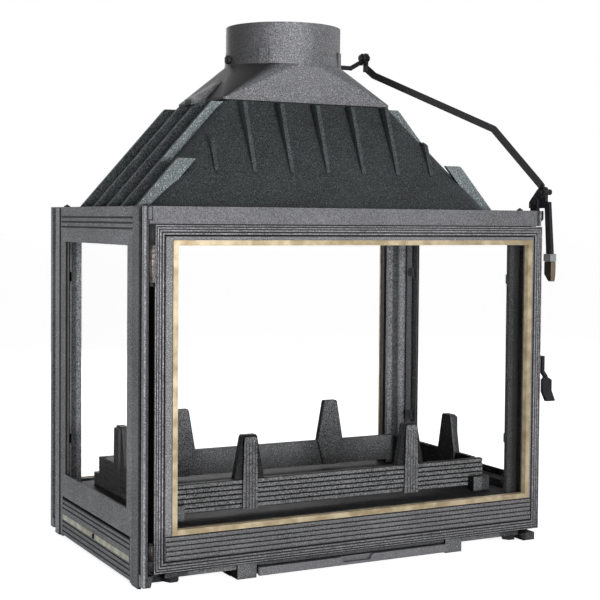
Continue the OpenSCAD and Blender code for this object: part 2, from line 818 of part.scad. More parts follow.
// A bar with tapered posts, its ribbed face towards -Y, foot of the post list at x
module fence(half, posts, h) {
    z0 = floor_z + bar_lift;
    rib_step = bar_h / 6;
    box([-half, 0, z0], [half, bar_t - 4, z0 + bar_h]);
    for (i = [0:5])
        box([-half, -2, z0 + i * rib_step + 1.6], [half, eps, z0 + (i + 1) * rib_step - 1]);
    for (sx = [-1, 1])
        box([sx * half, 0, floor_z], [sx * (half - 24), bar_t - 4, z0 + 2]);
    for (x = posts) translate([x, 0, 0]) fence_post(z0, floor_z + h);
}

module fence_post(z0, z1) {
    half = post_w / 2;
    difference() {
        union() {
            // Back plate, spreading into the bar
            translate([0, bar_t, 0]) rotate([90, 0, 0]) linear_extrude(bar_t)
                polygon([[-half - 12.5, z0 + bar_h], [-half, z1 - 3], [-half + 2, z1],
                         [half - 2, z1], [half, z1 - 3], [half + 12.5, z0 + bar_h],
                         [half, z0], [-half, z0]]);
            // Fluted pad on the face
            translate([0, eps, 0]) rotate([90, 0, 0]) linear_extrude(5)
                polygon([[-half, z0 - 1], [half, z0 - 1], [0.8 * half, z1 - 6],
                         [0.8 * half - 2, z1 - 3], [-0.8 * half + 2, z1 - 3],
                         [-0.8 * half, z1 - 6]]);
        }
        for (i = [-1.5:1:1.5])
            translate([i * 5.2, -5, z0 - 2]) cylinder(h = z1 - z0 - 10, r = 1.4, $fn = 16);
    }
}

fence_mid = (bar_rear - bar_front) / 2;
side_half = (bar_rear + bar_front) / 2 - bar_t - 8;

module fence_front() {
    color(dark_iron) translate([0, -bar_front + 2, 0])
        fence(bar_x, [-post_x, post_x], post_h - 4);
}
module fence_rear() {
    color(dark_iron) translate([0, bar_rear - 2, 0]) rotate([0, 0, 180])
        fence(bar_x, [-post_x, post_x], post_h);
}
module fence_side() {
    translate([-bar_x + 3, fence_mid, 0]) rotate([0, 0, -90]) fence(side_half, [-55], post_h - 9);
}
module fence_left() { color(dark_iron) fence_side(); }
module fence_right() {
    color(dark_iron) translate([0, 2 * fence_mid, 0]) rotate([0, 0, 180]) fence_side();
}

// Ash pan with a finger notch in its lip
module ash_pan() {
    y0 = pan_y;
    z0 = pan_z;
    color(iron) difference() {
        union() {
            difference() {
                box([-pan_half, y0, z0], [pan_half, y0 + pan_d, z0 + pan_h]);
                box([-pan_half + pan_t, y0 + 4, z0 + pan_t],
                    [pan_half - pan_t, y0 + pan_d - pan_t, z0 + pan_h + 1]);
            }
            box([-pan_lip, y0 - pan_lip_t, z0 + 1.5], [pan_lip, y0 + eps, z0 + pan_h]);
        }
        translate([0, y0 - 1, 0]) rotate([90, 0, 0]) linear_extrude(pan_lip_t)
            polygon([[-24, z0 + 6], [-30, z0 + pan_h + 1], [30, z0 + pan_h + 1], [24, z0 + 6]]);
    }
}

// Doors

// Ring of a rectangular groove in a door's face, at one distance in from its edge
module face_groove(b, inset, w, depth) {
    difference() {
        box([b[0] + inset, door_face - 1, door_low + inset],
            [b[1] - inset, door_face + depth, door_top - inset]);
        box([b[0] + inset + w, door_face - 2, door_low + inset + w],
            [b[1] - inset - w, door_face + depth + 1, door_top - inset - w]);
    }
}

module door_casting(b) {
    low_panel = open_low - trim_face;
    difference() {
        box([b[0], door_face, door_low], [b[1], door_back, door_top]);
        // Sight opening and the pocket behind it
        box([b[2] - trim_t, door_face - 1, open_low - trim_t],
            [b[3] + trim_t, door_back + 1, open_top + trim_t]);
        box([b[0] + rim, glass_y, open_low - 25],
            [b[1] - rim, door_back + 1, door_top - rim]);
        // Nested mouldings round the face
        face_groove(b, 3.4, 1.6, 1.8);
        face_groove(b, 8.2, 1.8, 2.2);
        door_inner_groove(b, low_panel);
        // Flutes across the lower rail
        for (i = [0:4]) {
            z = low_panel - 5 - i * 8.6;
            box([b[0] + 19, door_face - 1, z - 1.3], [b[1] - 19, door_face + 2, z + 1.3]);
        }
        // Channel for the rope seal in the rim
        door_rope_ring(b, 0, seat_y);
    }
}

// Third moulding, which frames only the sight opening's sides and top
module door_inner_groove(b, low_panel) {
    inset = 14.6;
    w = 2;
    difference() {
        box([b[0] + inset, door_face - 1, low_panel],
            [b[1] - inset, door_face + 2, door_top - inset]);
        box([b[0] + inset + w, door_face - 2, low_panel - 1],
            [b[1] - inset - w, door_face + 3, door_top - inset - w]);
    }
}

// Rope round the door's back, from the bottom of its channel to the seat
module door_rope_ring(b, slack, y1) {
    y0 = door_back - rope_in;
    x0 = b[0] + 5 + slack;
    x1 = b[1] - 7.5 - slack;
    z0 = door_low + 8 + slack;
    z1 = door_top - 5 - slack;
    w = rope_w - 2 * slack;
    difference() {
        box([x0, y0, z0], [x1, y1, z1]);
        box([x0 + w, y0 - 1, z0 + w], [x1 - w, y1 + 1, z1 - w]);
    }
}

// Knuckles on the hinge stile, and room for the pillar's lugs
module front_door_frame() {
    z_up = door_top - hinge_upper_l - gap;
    color(iron) difference() {
        union() {
            door_casting(front_bay);
            door_knuckle(z_up - hinge_door_l, z_up);
            door_knuckle(hinge_low_z + gap, hinge_low_z + 24);
        }
        for (z = [[z_up, door_top + 1], [door_low - 1, hinge_low_z + gap]])
            translate([hinge_x, hinge_y, z[0]])
                cylinder(h = z[1] - z[0], r = knuckle_r + 0.6);
        for (z = [[z_up - hinge_door_l - 1, z_up + 1], [hinge_low_z - 1, hinge_low_z + 30]])
            translate([hinge_x, hinge_y, z[0]])
                cylinder(h = z[1] - z[0], r = hinge_pin_r + run);
        // Hole for the latch pin
        rod_x_axis(door_r - 12, door_r + 5, latch_y, latch_z, 3);
    }
}

module door_knuckle(z0, z1) {
    translate([hinge_x, hinge_y, z0]) cylinder(h = z1 - z0, r = knuckle_r);
    box([hinge_x, hinge_y - knuckle_r + 0.8, z0], [door_l + 1, hinge_y + knuckle_r, z1]);
}

module hinge_pins() {
    z_up = door_top - hinge_upper_l - gap;
    color(steel) {
        translate([hinge_x, hinge_y, z_up - hinge_door_l - 2])
            cylinder(h = hinge_door_l + hinge_upper_l + 3, r = hinge_pin_r);
        translate([hinge_x, hinge_y, z_up - hinge_door_l - 5])
            cylinder(h = 3, r = door_l - hinge_x - gap);
        translate([hinge_x, hinge_y, hinge_low_z - 12]) cylinder(h = 37, r = hinge_pin_r);
        translate([hinge_x, hinge_y, hinge_low_z + 25 - eps]) cylinder(h = 2, r = 3.6);
    }
}

module pane_solid(b) {
    box([b[2] - glass_lap, pane_y, open_low - glass_lap],
        [b[3] + glass_lap, pane_y + glass_t, open_top + glass_lap]);
}
module front_door_glass() { color(pane) pane_solid(front_bay); }

// Flat tape between the pane and its casting
module tape(b) {
    difference() {
        box([b[2] - glass_lap, glass_y, open_low - glass_lap],
            [b[3] + glass_lap, pane_y, open_top + glass_lap]);
        box([b[2] - trim_t, glass_y - 1, open_low - trim_t],
            [b[3] + trim_t, pane_y + 1, open_top + trim_t]);
    }
}
module front_glass_tape() { color(fibre) tape(front_bay); }
module front_door_rope() { color(fibre) door_rope_ring(front_bay, fast_gap, seat_y - gap); }

// Steel clips on the back of the frame: a bar over the pane's edge and its screw
module clip_row(b) {
    for (z = [open_low + 60, (open_low + open_top) / 2, open_top - 60]) {
        clip_at(b[2] - glass_lap, z, 1);
        clip_at(b[3] + glass_lap, z, -1);
    }
}
module clip_at(x, z, s) {
    y0 = pane_y + glass_t;
    box([x - s * 5.4, y0, z - 8], [x + s * 6, y0 + 2, z + 8]);
    box([x - s * 5.4, glass_y, z - 8], [x - s * 0.4, y0 + eps, z + 8]);
    translate([x - s * 2.9, y0 + 2 - eps, z]) rotate([-90, 0, 0]) cylinder(h = 2.4, r = 2.4);
}
module front_glass_clips() { color(steel) clip_row(front_bay); }

// Brass L-strip round half the opening; the two halves meet at top and bottom
module trim_half(b, left, inward) {
    split = b[2] + trim_split;
    difference() {
        union() {
            box([b[2] - trim_face, door_face - trim_t, open_low - trim_face],
                [b[3] + trim_face, door_face, open_top + trim_face]);
            box([b[2] - trim_t, door_face - eps, open_low - trim_t],
                [b[3] + trim_t, door_face + inward, open_top + trim_t]);
        }
        box([b[2], door_face - 5, open_low], [b[3], door_face + 20, open_top]);
        if (left) box([split - 0.2, door_face - 5, 0], [body_w, door_face + 20, body_h]);
        else box([-body_w, door_face - 5, 0], [split + 0.2, door_face + 20, body_h]);
    }
}
module front_trim_left() { color(brass) trim_half(front_bay, true, trim_return); }
module front_trim_right() { color(brass) trim_half(front_bay, false, trim_return); }

// Latch: a flat lever on a pin at the door's edge. Its arm wedges under the keeper stud,
// and below the pivot the bar is turned flat into a grip.
module latch_handle() {
    y_grip = door_face - 7;
    z_neck = latch_z - 20;
    z_end = latch_z - latch_drop;
    x0 = latch_x;
    x1 = latch_x + latch_t;
    g0 = x0 - 4.3;
    g1 = g0 + grip_w;
    arm_z = latch_z - keeper_r - gap;
    color(steel) difference() {
        union() {
            rod_x_axis(x0, x1, latch_y, latch_z, 9);
            // Plate up the door's edge
            box([x0, door_face - 1, latch_z - 14], [x1, latch_y, latch_z + 13]);
            // Arm under the keeper, thicker at its root
            translate([x0, 0, 0]) rotate([90, 0, 90]) linear_extrude(latch_t)
                polygon([[latch_y, latch_z - 9], [latch_y + keeper_dy + 9, arm_z - 5],
                         [latch_y + keeper_dy + 11, arm_z - 2], [latch_y + keeper_dy + 9, arm_z],
                         [latch_y, arm_z]]);
            // Neck and grip
            hull() {
                box([x0, door_face - 1, latch_z - 14], [x1, door_face + 5, latch_z - 12]);
                box([x0, y_grip - 3, z_neck - 3], [x1, y_grip + 3, z_neck]);
            }
            hull() {
                box([x0, y_grip - 3, z_neck - 3], [x1, y_grip + 3, z_neck - 2]);
                box([g0, y_grip - 3, z_neck - 9], [g1, y_grip + 3, z_neck - 7]);
            }
            box([g0, y_grip - 3, z_end + 16], [g1, y_grip + 3, z_neck - 8]);
            hull() {
                box([g0, y_grip - 3, z_end + 15], [g1, y_grip + 3, z_end + 17]);
                box([g0 + 2, y_grip - 12, z_end], [g1, y_grip - 5, z_end + 2]);
            }
        }
        rod_x_axis(x0 - 1, x1 + 1, latch_y, latch_z, 3 + run);
    }
}

module latch_pin() {
    color(steel) {
        rod_x_axis(door_r - 12, latch_x + latch_t + 1.3, latch_y, latch_z, 3);
        rod_x_axis(latch_x + latch_t + gap, latch_x + latch_t + 3, latch_y, latch_z, 5.5);
    }
}

// Stud on the side casting that the latch arm wedges under
module latch_keeper() {
    color(steel)
        rod_x_axis(side_x, latch_x + latch_t, latch_y + keeper_dy, latch_z, keeper_r);
}

// The rear glazing is a narrower casting of the same kind, turned round and bolted in place
module turned() { rotate([0, 0, 180]) children(); }
module rear_frame() {
    color(iron) turned() difference() {
        door_casting(rear_bay);
        rear_bolt_places() rod_y_hole();
    }
}
module rod_y_hole() {
    translate([0, door_face - 1, 0]) rotate([-90, 0, 0])
        cylinder(h = door_t + 4, r = rear_bolt_r + fast_gap);
}
module rear_bolt_places() {
    for (x = [rear_bay[0] + 21, rear_bay[1] - 21], z = [door_low + 22, door_top - 17])
        translate([x, 0, z]) children();
}
module rear_bolt_holes() {
    turned() rear_bolt_places() translate([0, seat_y - 1, 0]) rotate([-90, 0, 0])
        cylinder(h = bolt_in + 1 + gap, r = rear_bolt_r + fast_gap);
}
module rear_frame_bolts() {
    color(dark_iron) turned() rear_bolt_places() {
        translate([0, door_face - 1, 0]) rotate([-90, 0, 0])
            cylinder(h = seat_y - door_face + 1 + bolt_in, r = rear_bolt_r);
        translate([0, door_face - 3, 0]) rotate([-90, 0, 0]) cylinder(h = 3, r = 5.2);
    }
}
module rear_glass() { color(pane) turned() pane_solid(rear_bay); }
module rear_glass_tape() { color(fibre) turned() tape(rear_bay); }
module rear_rope() { color(fibre) turned() door_rope_ring(rear_bay, fast_gap, seat_y); }
module rear_glass_clips() { color(steel) turned() clip_row(rear_bay); }
module rear_trim_left() { color(brass) turned() trim_half(rear_bay, false, 3); }
module rear_trim_right() { color(brass) turned() trim_half(rear_bay, true, 3); }

// Damper

// Oblong plate that turns inside the collar
module damper_plate() {
    color(iron) difference() {
        translate([0, flue_y, spindle_z + spindle_r - 0.5]) intersection() {
            cylinder(h = 3, r = collar_bore - 7, $fn = 96);
            box([-body_w, -54, 0], [body_w, 54, 3]);
        }
        rod_x_axis(-body_w / 2, body_w / 2, flue_y, spindle_z, spindle_r + fast_gap);
        both_x() translate([45, flue_y, 0]) cylinder(h = spindle_z + 20, r = 2 + fast_gap);
    }
}

// Spindle bent into the crank, forged flat into an eye at its end
module damper_spindle() {
    run_x = 15;
    reach = sqrt(2) * crank;
    up = reach - 9;
    color(dark_iron) difference() {
        union() {
            rod_x_axis(-collar_r - 10, bend_x, flue_y, spindle_z, spindle_r);
            translate([bend_x, flue_y, spindle_z]) sphere(r = spindle_r + 0.4);
            translate([bend_x, flue_y, spindle_z]) rotate([45, 0, 0]) {
                rotate([0, atan2(run_x, up), 0])
                    cylinder(h = sqrt(run_x * run_x + up * up), r = spindle_r);
                box([run_x - 2.6, -4.6, up - 4], [run_x + 2.6, 4.6, reach - 4.6]);
            }
            rod_x_axis(bend_x + run_x - 3, bend_x + run_x + 3, crank_pin[1], crank_pin[2], eye_r - 1);
        }
        rod_x_axis(bend_x, bend_x + 40, crank_pin[1], crank_pin[2], link_pin_r + fast_gap);
        both_x() translate([45, flue_y, 0]) cylinder(h = spindle_z + 20, r = 2 + fast_gap);
    }
}

module plate_screws() {
    color(steel) both_x() translate([45, flue_y, spindle_z - spindle_r - 2]) {
        cylinder(h = 2 * spindle_r + 7, r = 2);
        translate([0, 0, 2 * spindle_r + 4.6]) cylinder(h = 2.4, r = 4);
    }
}

module spindle_nut() {
    color(steel) difference() {
        translate([-collar_r - 9, flue_y, spindle_z]) rotate([0, 90, 0]) hex(7.5, 6.5);
        rod_x_axis(-collar_r - 12, 0, flue_y, spindle_z, spindle_r + fast_gap);
    }
}

// Bolt that joins crank and link
module crank_bolt() {
    x0 = bend_x + 8;
    color(steel) {
        rod_x_axis(x0 + 3, link_top_x + link_t + 4.5, crank_pin[1], crank_pin[2], link_pin_r);
        translate([x0, crank_pin[1], crank_pin[2]]) rotate([0, 90, 0]) hex(5.5, 4);
        translate([link_top_x + link_t + gap, crank_pin[1], crank_pin[2]])
            rotate([0, 90, 0]) hex(5.5, 3.6);
    }
}

// Flat bar from the crank to the lever, cranked twice in one upright plane
link_a = [link_top_x + link_t / 2, crank_pin[1], crank_pin[2]];
link_b = [link_low_x + link_t / 2, lever_pin[1], lever_pin[2]];
link_plan = [link_b[0] - link_a[0], link_b[1] - link_a[1]];
link_len = norm(link_plan);
link_yaw = atan2(link_plan[1], link_plan[0]);
link_drop = link_b[2] - link_a[2];
link_pts = [[0, -17], [16, -31], [0.735 * link_len, -130], [link_len, link_drop + 10]];

// Outline of the bar with mitred bends
function link_normal(i) =
    let (d = link_pts[i + 1] - link_pts[i]) [-d[1], d[0]] / norm(d);
function link_mitre(i) =
    i == 0 ? link_normal(0) :
    i == 3 ? link_normal(2) :
    let (a = link_normal(i - 1), b = link_normal(i)) (a + b) / (1 + a * b);
link_outline = concat(
    [for (i = [0:3]) link_pts[i] + link_mitre(i) * link_w / 2],
    [for (i = [3:-1:0]) link_pts[i] - link_mitre(i) * link_w / 2]);

module link_arm() {
    color(dark_iron) difference() {
        union() {
            link_eye(link_a, -24);
            link_eye(link_b, 13);
            translate([link_a[0], link_a[1], link_a[2]]) rotate([0, 0, link_yaw]) {
                difference() {
                    translate([0, link_t / 2, 0]) rotate([90, 0, 0])
                        linear_extrude(link_t) polygon(link_outline);
                    link_end_trim(link_pts[0], -1);
                    link_end_trim(link_pts[3], 1);
                }
            }
        }
        rod_x_axis(link_a[0] - 20, link_a[0] + 20, link_a[1], link_a[2], link_pin_r + fast_gap);
        rod_x_axis(link_b[0] - 20, link_b[0] + 20, link_b[1], link_b[2], link_pin_r + run);
    }
}

// Round eye square to the pins, with a tab towards the bar
module link_eye(p, up) {
    rod_x_axis(p[0] - link_t / 2, p[0] + link_t / 2, p[1], p[2], eye_r);
    box([p[0] - link_t / 2, p[1] - link_w / 2, p[2]],
        [p[0] + link_t / 2, p[1] + link_w / 2, p[2] + up]);
}

// Cuts the slanting bar off flush with the outer side of its tab
module link_end_trim(p, side) {
    x = side * link_t / 2;
    translate([p[0], 0, p[1]]) rotate([0, 0, -link_yaw])
        box([x, -25, -25], [x + side * 25, 25, 25]);
}

// Knurled-headed bolt through link and lever
module link_knob_bolt() {
    x0 = link_low_x - 4;
    color(dark_iron) {
        rod_x_axis(x0, lever_x + lever_t + 4, lever_pin[1], lever_pin[2], link_pin_r);
        rod_x_axis(lever_x + lever_t + gap, lever_x + lever_t + 10, lever_pin[1], lever_pin[2], 5);
        translate([x0, lever_pin[1], lever_pin[2]]) rotate([0, 90, 0]) hex(5.5, 4 - gap);
    }
}

// Plate screwed to the body's side, with the ear that carries the lever's pivot
bracket_l = side_x + gap;
bracket_r = lever_x - gap;
module lever_bracket() {
    y0 = front_y + 1;
    y1 = pivot_y + 12;
    color(dark_iron) difference() {
        union() {
            rod_x_axis(bracket_l, bracket_r, pivot_y, pivot_z, 10);
            translate([bracket_l, 0, 0]) rotate([90, 0, 90]) linear_extrude(bracket_r - bracket_l)
                polygon([[pivot_y + 10, pivot_z], [pivot_y + 10, top_z + 1], [y1, top_z],
                         [y1, lintel_z + 12], [y1 - 4, lintel_z + 8], [y0 + 4, lintel_z + 8],
                         [y0, lintel_z + 12], [y0, top_z - 1], [y0 + 1, top_z],
                         [pivot_y - 10, top_z], [pivot_y - 10, pivot_z]]);
        }
        rod_x_axis(bracket_l - 5, bracket_r + 5, pivot_y, pivot_z, 4 + run);
        bracket_screws(fast_gap);
    }
}
// Countersunk screws; the holes in the pillar and the pilaster are blind
module bracket_screws(slack) {
    for (y = [front_y + 9, pivot_y + 6]) translate([0, y, lintel_z + 17]) {
        rod_x_axis(side_x - 3.8 - slack, bracket_r, 0, 0, 2.5 + slack);
        translate([bracket_r + eps, 0, 0]) rotate([0, -90, 0])
            cylinder(h = 2.6 + slack, r1 = 4.8 + slack, r2 = 2.2);
    }
}
module bracket_bolt_holes() { bracket_screws(fast_gap); }
module bracket_bolts() {
    color(dark_iron) intersection() {
        bracket_screws(0);
        box([side_x - 10, front_y, lintel_z], [bracket_r - 0.2, -front_y, top_z]);
    }
}

// Bell-crank lever: crank up to the link, arm forward and down beside the door
module damper_lever() {
    z_end = top_z - arm_drop;
    z_top = pivot_z;
    x1 = lever_x + lever_t;
    w = lever_w / 2;
    color(dark_iron) difference() {
        union() {
            rod_x_axis(lever_x, x1, lever_pin[1], lever_pin[2], eye_r);
            translate([lever_x, 0, 0]) rotate([90, 0, 90]) linear_extrude(lever_t)
                polygon([[pivot_y + 21, z_top - 10.5], [pivot_y + 21, z_top],
                         [lever_pin[1] + 15, lever_pin[2] + 5], [lever_pin[1] + 2, lever_pin[2] + 8.9],
                         [lever_pin[1] - 7, lever_pin[2] + 2], [lever_pin[1] - 7, z_top + 1],
                         [arm_y + 1.5, z_top], [arm_y - w, z_end + 18], [arm_y - w, z_end],
                         [arm_y + w, z_end], [arm_y + w, z_end + 18],
                         [pivot_y - 22.5, z_top - 10.5]]);
        }
        rod_x_axis(lever_x - 1, x1 + 1, pivot_y, pivot_z, 4 + run);
        rod_x_axis(lever_x - 1, x1 + 1, lever_pin[1], lever_pin[2], link_pin_r + fast_gap);
    }
}

module lever_pivot_pin() {
    color(steel) {
        rod_x_axis(bracket_l - 3.6, lever_x + lever_t + 2, pivot_y, pivot_z, 4);
        rod_x_axis(lever_x + lever_t + gap, lever_x + lever_t + 3.4, pivot_y, pivot_z, 7);
        rod_x_axis(bracket_l - 3.6, bracket_l - gap, pivot_y, pivot_z, 6);
    }
}

clip_z = top_z - arm_drop + 2 + gap;
module lever_clip() {
    m = 3;
    color(steel) difference() {
        box([lever_x - m, arm_y - lever_w / 2 - m, clip_z],
            [lever_x + lever_t + m, arm_y + lever_w / 2 + m, clip_z + 13]);
        box([lever_x, arm_y - lever_w / 2, clip_z - 1],
            [lever_x + lever_t, arm_y + lever_w / 2, clip_z + 14]);
    }
}

// Bevelled cold tip pushed over the lever's end
module lever_tip() {
    z1 = top_z - arm_drop + 2;
    z0 = z1 - 33;
    color([0.45, 0.40, 0.36]) difference() {
        hull() {
            box([lever_x - 2, arm_y - 10, z0 + 12], [lever_x + lever_t + 2, arm_y + 9, z1]);
            box([lever_x - 1, arm_y - 9, z0], [lever_x + lever_t + 1, arm_y - 1, z0 + 1]);
        }
        box([lever_x, arm_y - lever_w / 2, z1 - 2], [lever_x + lever_t, arm_y + lever_w / 2, z1 + 1]);
    }
}

hearth_base();
pillar_front_left();
pillar_front_right();
pillar_rear_left();
pillar_rear_right();
side_frame_left();
side_frame_right();
side_glass_left();
side_glass_right();
side_glass_clips();
skirt_left();
skirt_right();
skirt_brass();
skirt_studs();
top_plate();
tie_rods();
tie_rod_nuts();
smoke_baffle();
hood();
flue_cap();
cap_bolts();
fire_grate();
fence_front();
fence_rear();
fence_left();
fence_right();
ash_pan();
levelling_bolts();
front_door_frame();
front_door_glass();
front_glass_tape();
front_door_rope();
front_glass_clips();
front_trim_left();
front_trim_right();
hinge_pins();
latch_handle();
latch_pin();
latch_keeper();
rear_frame();
rear_glass();
rear_glass_tape();
rear_rope();
rear_glass_clips();
rear_trim_left();
rear_trim_right();
rear_frame_bolts();
damper_plate();
damper_spindle();
plate_screws();
spindle_nut();
crank_bolt();
link_arm();
link_knob_bolt();
lever_bracket();
bracket_bolts();
damper_lever();
lever_pivot_pin();
lever_clip();
lever_tip();
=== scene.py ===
# %% [markdown]
# This lesson dresses a four-sided cast-iron fireplace insert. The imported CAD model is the
# fixed frame: it says where every piece is and what it moves with. Blender adds what the eye
# reads, which is the grain of the castings, the mouldings, the brass and the light.

# %% Load the frame
import bmesh
import bpy
import math
from mathutils import Matrix, Vector


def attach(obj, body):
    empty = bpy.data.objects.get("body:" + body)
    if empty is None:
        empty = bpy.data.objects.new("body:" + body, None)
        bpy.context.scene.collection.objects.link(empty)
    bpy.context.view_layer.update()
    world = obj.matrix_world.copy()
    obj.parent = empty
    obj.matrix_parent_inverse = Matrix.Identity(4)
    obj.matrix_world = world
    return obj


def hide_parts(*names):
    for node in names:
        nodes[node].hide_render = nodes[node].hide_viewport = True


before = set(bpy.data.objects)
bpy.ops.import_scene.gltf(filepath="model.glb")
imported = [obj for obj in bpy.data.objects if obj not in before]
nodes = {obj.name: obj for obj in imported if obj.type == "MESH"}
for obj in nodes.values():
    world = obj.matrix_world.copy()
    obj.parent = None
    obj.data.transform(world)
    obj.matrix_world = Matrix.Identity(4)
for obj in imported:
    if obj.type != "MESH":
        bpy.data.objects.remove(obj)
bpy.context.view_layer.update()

# %% [markdown]
# The camera stands where the photograph was taken from: low, in front and to the left, so
# that the left side is seen at a slant. Its place and turn come from the vanishing points of
# the body's long edges, and a small vertical shift stands for the crop of the picture.

# %% Camera
camera_at = Vector((-1.0600, -2.0608, 0.5489))
camera_yaw, camera_pitch, camera_roll = map(math.radians, (-27.56, -2.15, -0.47))
lens_mm, sensor_mm = 80.66, 36.0
crop_shift = -0.05

camera_data = bpy.data.cameras.new("studio_camera")
camera_data.lens = lens_mm
camera_data.sensor_width = sensor_mm
camera_data.shift_y = crop_shift
camera = bpy.data.objects.new("studio_camera", camera_data)
camera_turn = (Matrix.Rotation(camera_yaw, 3, "Z") @ Matrix.Rotation(camera_pitch, 3, "X")
               @ Matrix.Rotation(camera_roll, 3, "Y"))
right, forward, up = (camera_turn @ Vector(axis) for axis in ((1, 0, 0), (0, 1, 0), (0, 0, 1)))
camera_axes = Matrix((right, up, -forward)).transposed()
camera.matrix_world = Matrix.Translation(camera_at) @ camera_axes.to_4x4()
bpy.context.collection.objects.link(camera)
bpy.context.scene.camera = camera
print("camera looks along", [round(part, 3) for part in forward])

# %% [markdown]
# The studio has four soft lamps. A small lamp would draw hard shadows that the photograph
# doesn't have, so each lamp is a wide area. The strongest stands in front and lights the
# upright faces. Little light comes from above, which is why the hood's slopes stay dark while
# the door is a light grey.

# %% Soft lamps
def soft_lamp(name, place, target, size, watts):
    lamp = bpy.data.lights.new(name, "AREA")
    lamp.shape = "RECTANGLE"
    lamp.size, lamp.size_y = size
    lamp.energy = watts
    stand = bpy.data.objects.new(name, lamp)
    stand.location = place
    towards = Vector(target) - Vector(place)
    stand.rotation_euler = towards.to_track_quat("-Z", "Y").to_euler()
    stand.visible_camera = False
    stand.visible_transmission = False
    bpy.context.collection.objects.link(stand)


# Name, place, target, width and height in metres, and power
lamps = (("front_lamp", (0.10, -3.6, 0.62), (0.0, 0.0, 0.5), (1.4, 0.7), 112),
         ("left_lamp", (-3.2, -0.9, 0.20), (0.0, 0.0, 0.3), (1.0, 0.5), 46),
         ("right_lamp", (3.0, -0.4, 0.9), (0.0, 0.0, 0.4), (1.2, 1.4), 16),
         ("rear_lamp", (0.6, 3.0, 1.2), (0.0, 0.0, 0.4), (1.6, 1.2), 26))
for lamp_row in lamps:
    soft_lamp(*lamp_row)
bpy.context.scene.view_settings.view_transform = "Standard"
print("lamps:", len(lamps), "watts in all:", sum(row[-1] for row in lamps))

# %% [markdown]
# Surround, floor, glass and iron are all small webs of nodes. Written out in full they would
# hide what matters, so two helpers do the routine work: one adds a node with its settings and
# the values of its sockets, and the other draws links from outputs to inputs.

# %% Helpers for nodes
def add_node(tree, kind, values=None, **settings):
    node = tree.nodes.new(kind)
    for setting, value in settings.items():
        setattr(node, setting, value)
    for socket, value in (values or {}).items():
        node.inputs[socket].default_value = value
    return node


def join(tree, *pairs):
    for source, target in pairs:
        tree.links.new(source, target)


white = (1.0, 1.0, 1.0, 1)
print("helpers for nodes are ready")

# %% [markdown]
# The surround is white to the camera and to what mirrors or passes light, as the paper behind
# the insert is. A world that is white for all rays would light the iron from every side and
# flatten it, so the other rays meet a dim grey.

# %% White surround
dim_level, white_level = 0.05, 1.0
world = bpy.data.worlds.new("white_surround")
world.use_nodes = True
bpy.context.scene.world = world
world_tree = world.node_tree
world_tree.nodes.clear()
ray = add_node(world_tree, "ShaderNodeLightPath")
seen = add_node(world_tree, "ShaderNodeMath", operation="MAXIMUM")
seen_or_mirrored = add_node(world_tree, "ShaderNodeMath", operation="MAXIMUM")
surround_level = add_node(world_tree, "ShaderNodeMapRange",
                          {"To Min": dim_level, "To Max": white_level})
surround = add_node(world_tree, "ShaderNodeBackground", {"Color": white})
world_out = add_node(world_tree, "ShaderNodeOutputWorld")
join(world_tree,
     (ray.outputs["Is Camera Ray"], seen.inputs[0]),
     (ray.outputs["Is Transmission Ray"], seen.inputs[1]),
     (seen.outputs[0], seen_or_mirrored.inputs[0]),
     (ray.outputs["Is Glossy Ray"], seen_or_mirrored.inputs[1]),
     (seen_or_mirrored.outputs[0], surround_level.inputs["Value"]),
     (surround_level.outputs[0], surround.inputs["Strength"]),
     (surround.outputs[0], world_out.inputs["Surface"]))
print("surround level, seen and unseen:", white_level, dim_level)

# %% [markdown]
# Most of the insert is grey cast iron under heat-proof paint. Close up it is a fine sandy
# grain over slow, cloudy changes of tone, with pits from the mould and light specks of worn
# paint. A picture of iron would stretch and show seams, so four noise patterns make it. They
# read Object coordinates, so the grain is fixed to the piece and has one scale everywhere.
# One node group serves every iron, and each material gives it its own amounts.

# %% Grain patterns
colour_socket, number_socket = "NodeSocketColor", "NodeSocketFloat"
vector_socket = "NodeSocketVector"


def new_group(name, inputs, outputs):
    group = bpy.data.node_groups.new(name, "ShaderNodeTree")
    for label, kind, value in inputs:
        socket = group.interface.new_socket(label, in_out="INPUT", socket_type=kind)
        socket.default_value = value
    for label, kind in outputs:
        group.interface.new_socket(label, in_out="OUTPUT", socket_type=kind)
    return group, group.nodes.new("NodeGroupInput"), group.nodes.new("NodeGroupOutput")


cast_grain, grain_given, grain_out = new_group(
    "cast_grain",
    [("Dark", colour_socket, (0.05, 0.05, 0.05, 1)), ("Light", colour_socket, (0.2, 0.2, 0.2, 1)),
     ("Grain Size", number_socket, 900.0), ("Cloud Size", number_socket, 14.0),
     ("Grain Depth", number_socket, 0.3), ("Roughness", number_socket, 0.5),
     ("Specks", number_socket, 0.6)],
    [("Color", colour_socket), ("Roughness", number_socket), ("Normal", vector_socket)])
pits_to_grain, specks_to_grain = 0.45, 0.7
on_piece = add_node(cast_grain, "ShaderNodeTexCoord")
cloud = add_node(cast_grain, "ShaderNodeTexNoise", {"Detail": 5.0, "Roughness": 0.62})
sand = add_node(cast_grain, "ShaderNodeTexNoise", {"Detail": 3.0})
pits = add_node(cast_grain, "ShaderNodeTexVoronoi", feature="SMOOTH_F1")
speck = add_node(cast_grain, "ShaderNodeTexNoise", {"Detail": 1.0})
pit_size = add_node(cast_grain, "ShaderNodeMath", {1: pits_to_grain}, operation="MULTIPLY")
speck_size = add_node(cast_grain, "ShaderNodeMath", {1: specks_to_grain}, operation="MULTIPLY")
for pattern in (cloud, sand, pits, speck):
    join(cast_grain, (on_piece.outputs["Object"], pattern.inputs["Vector"]))
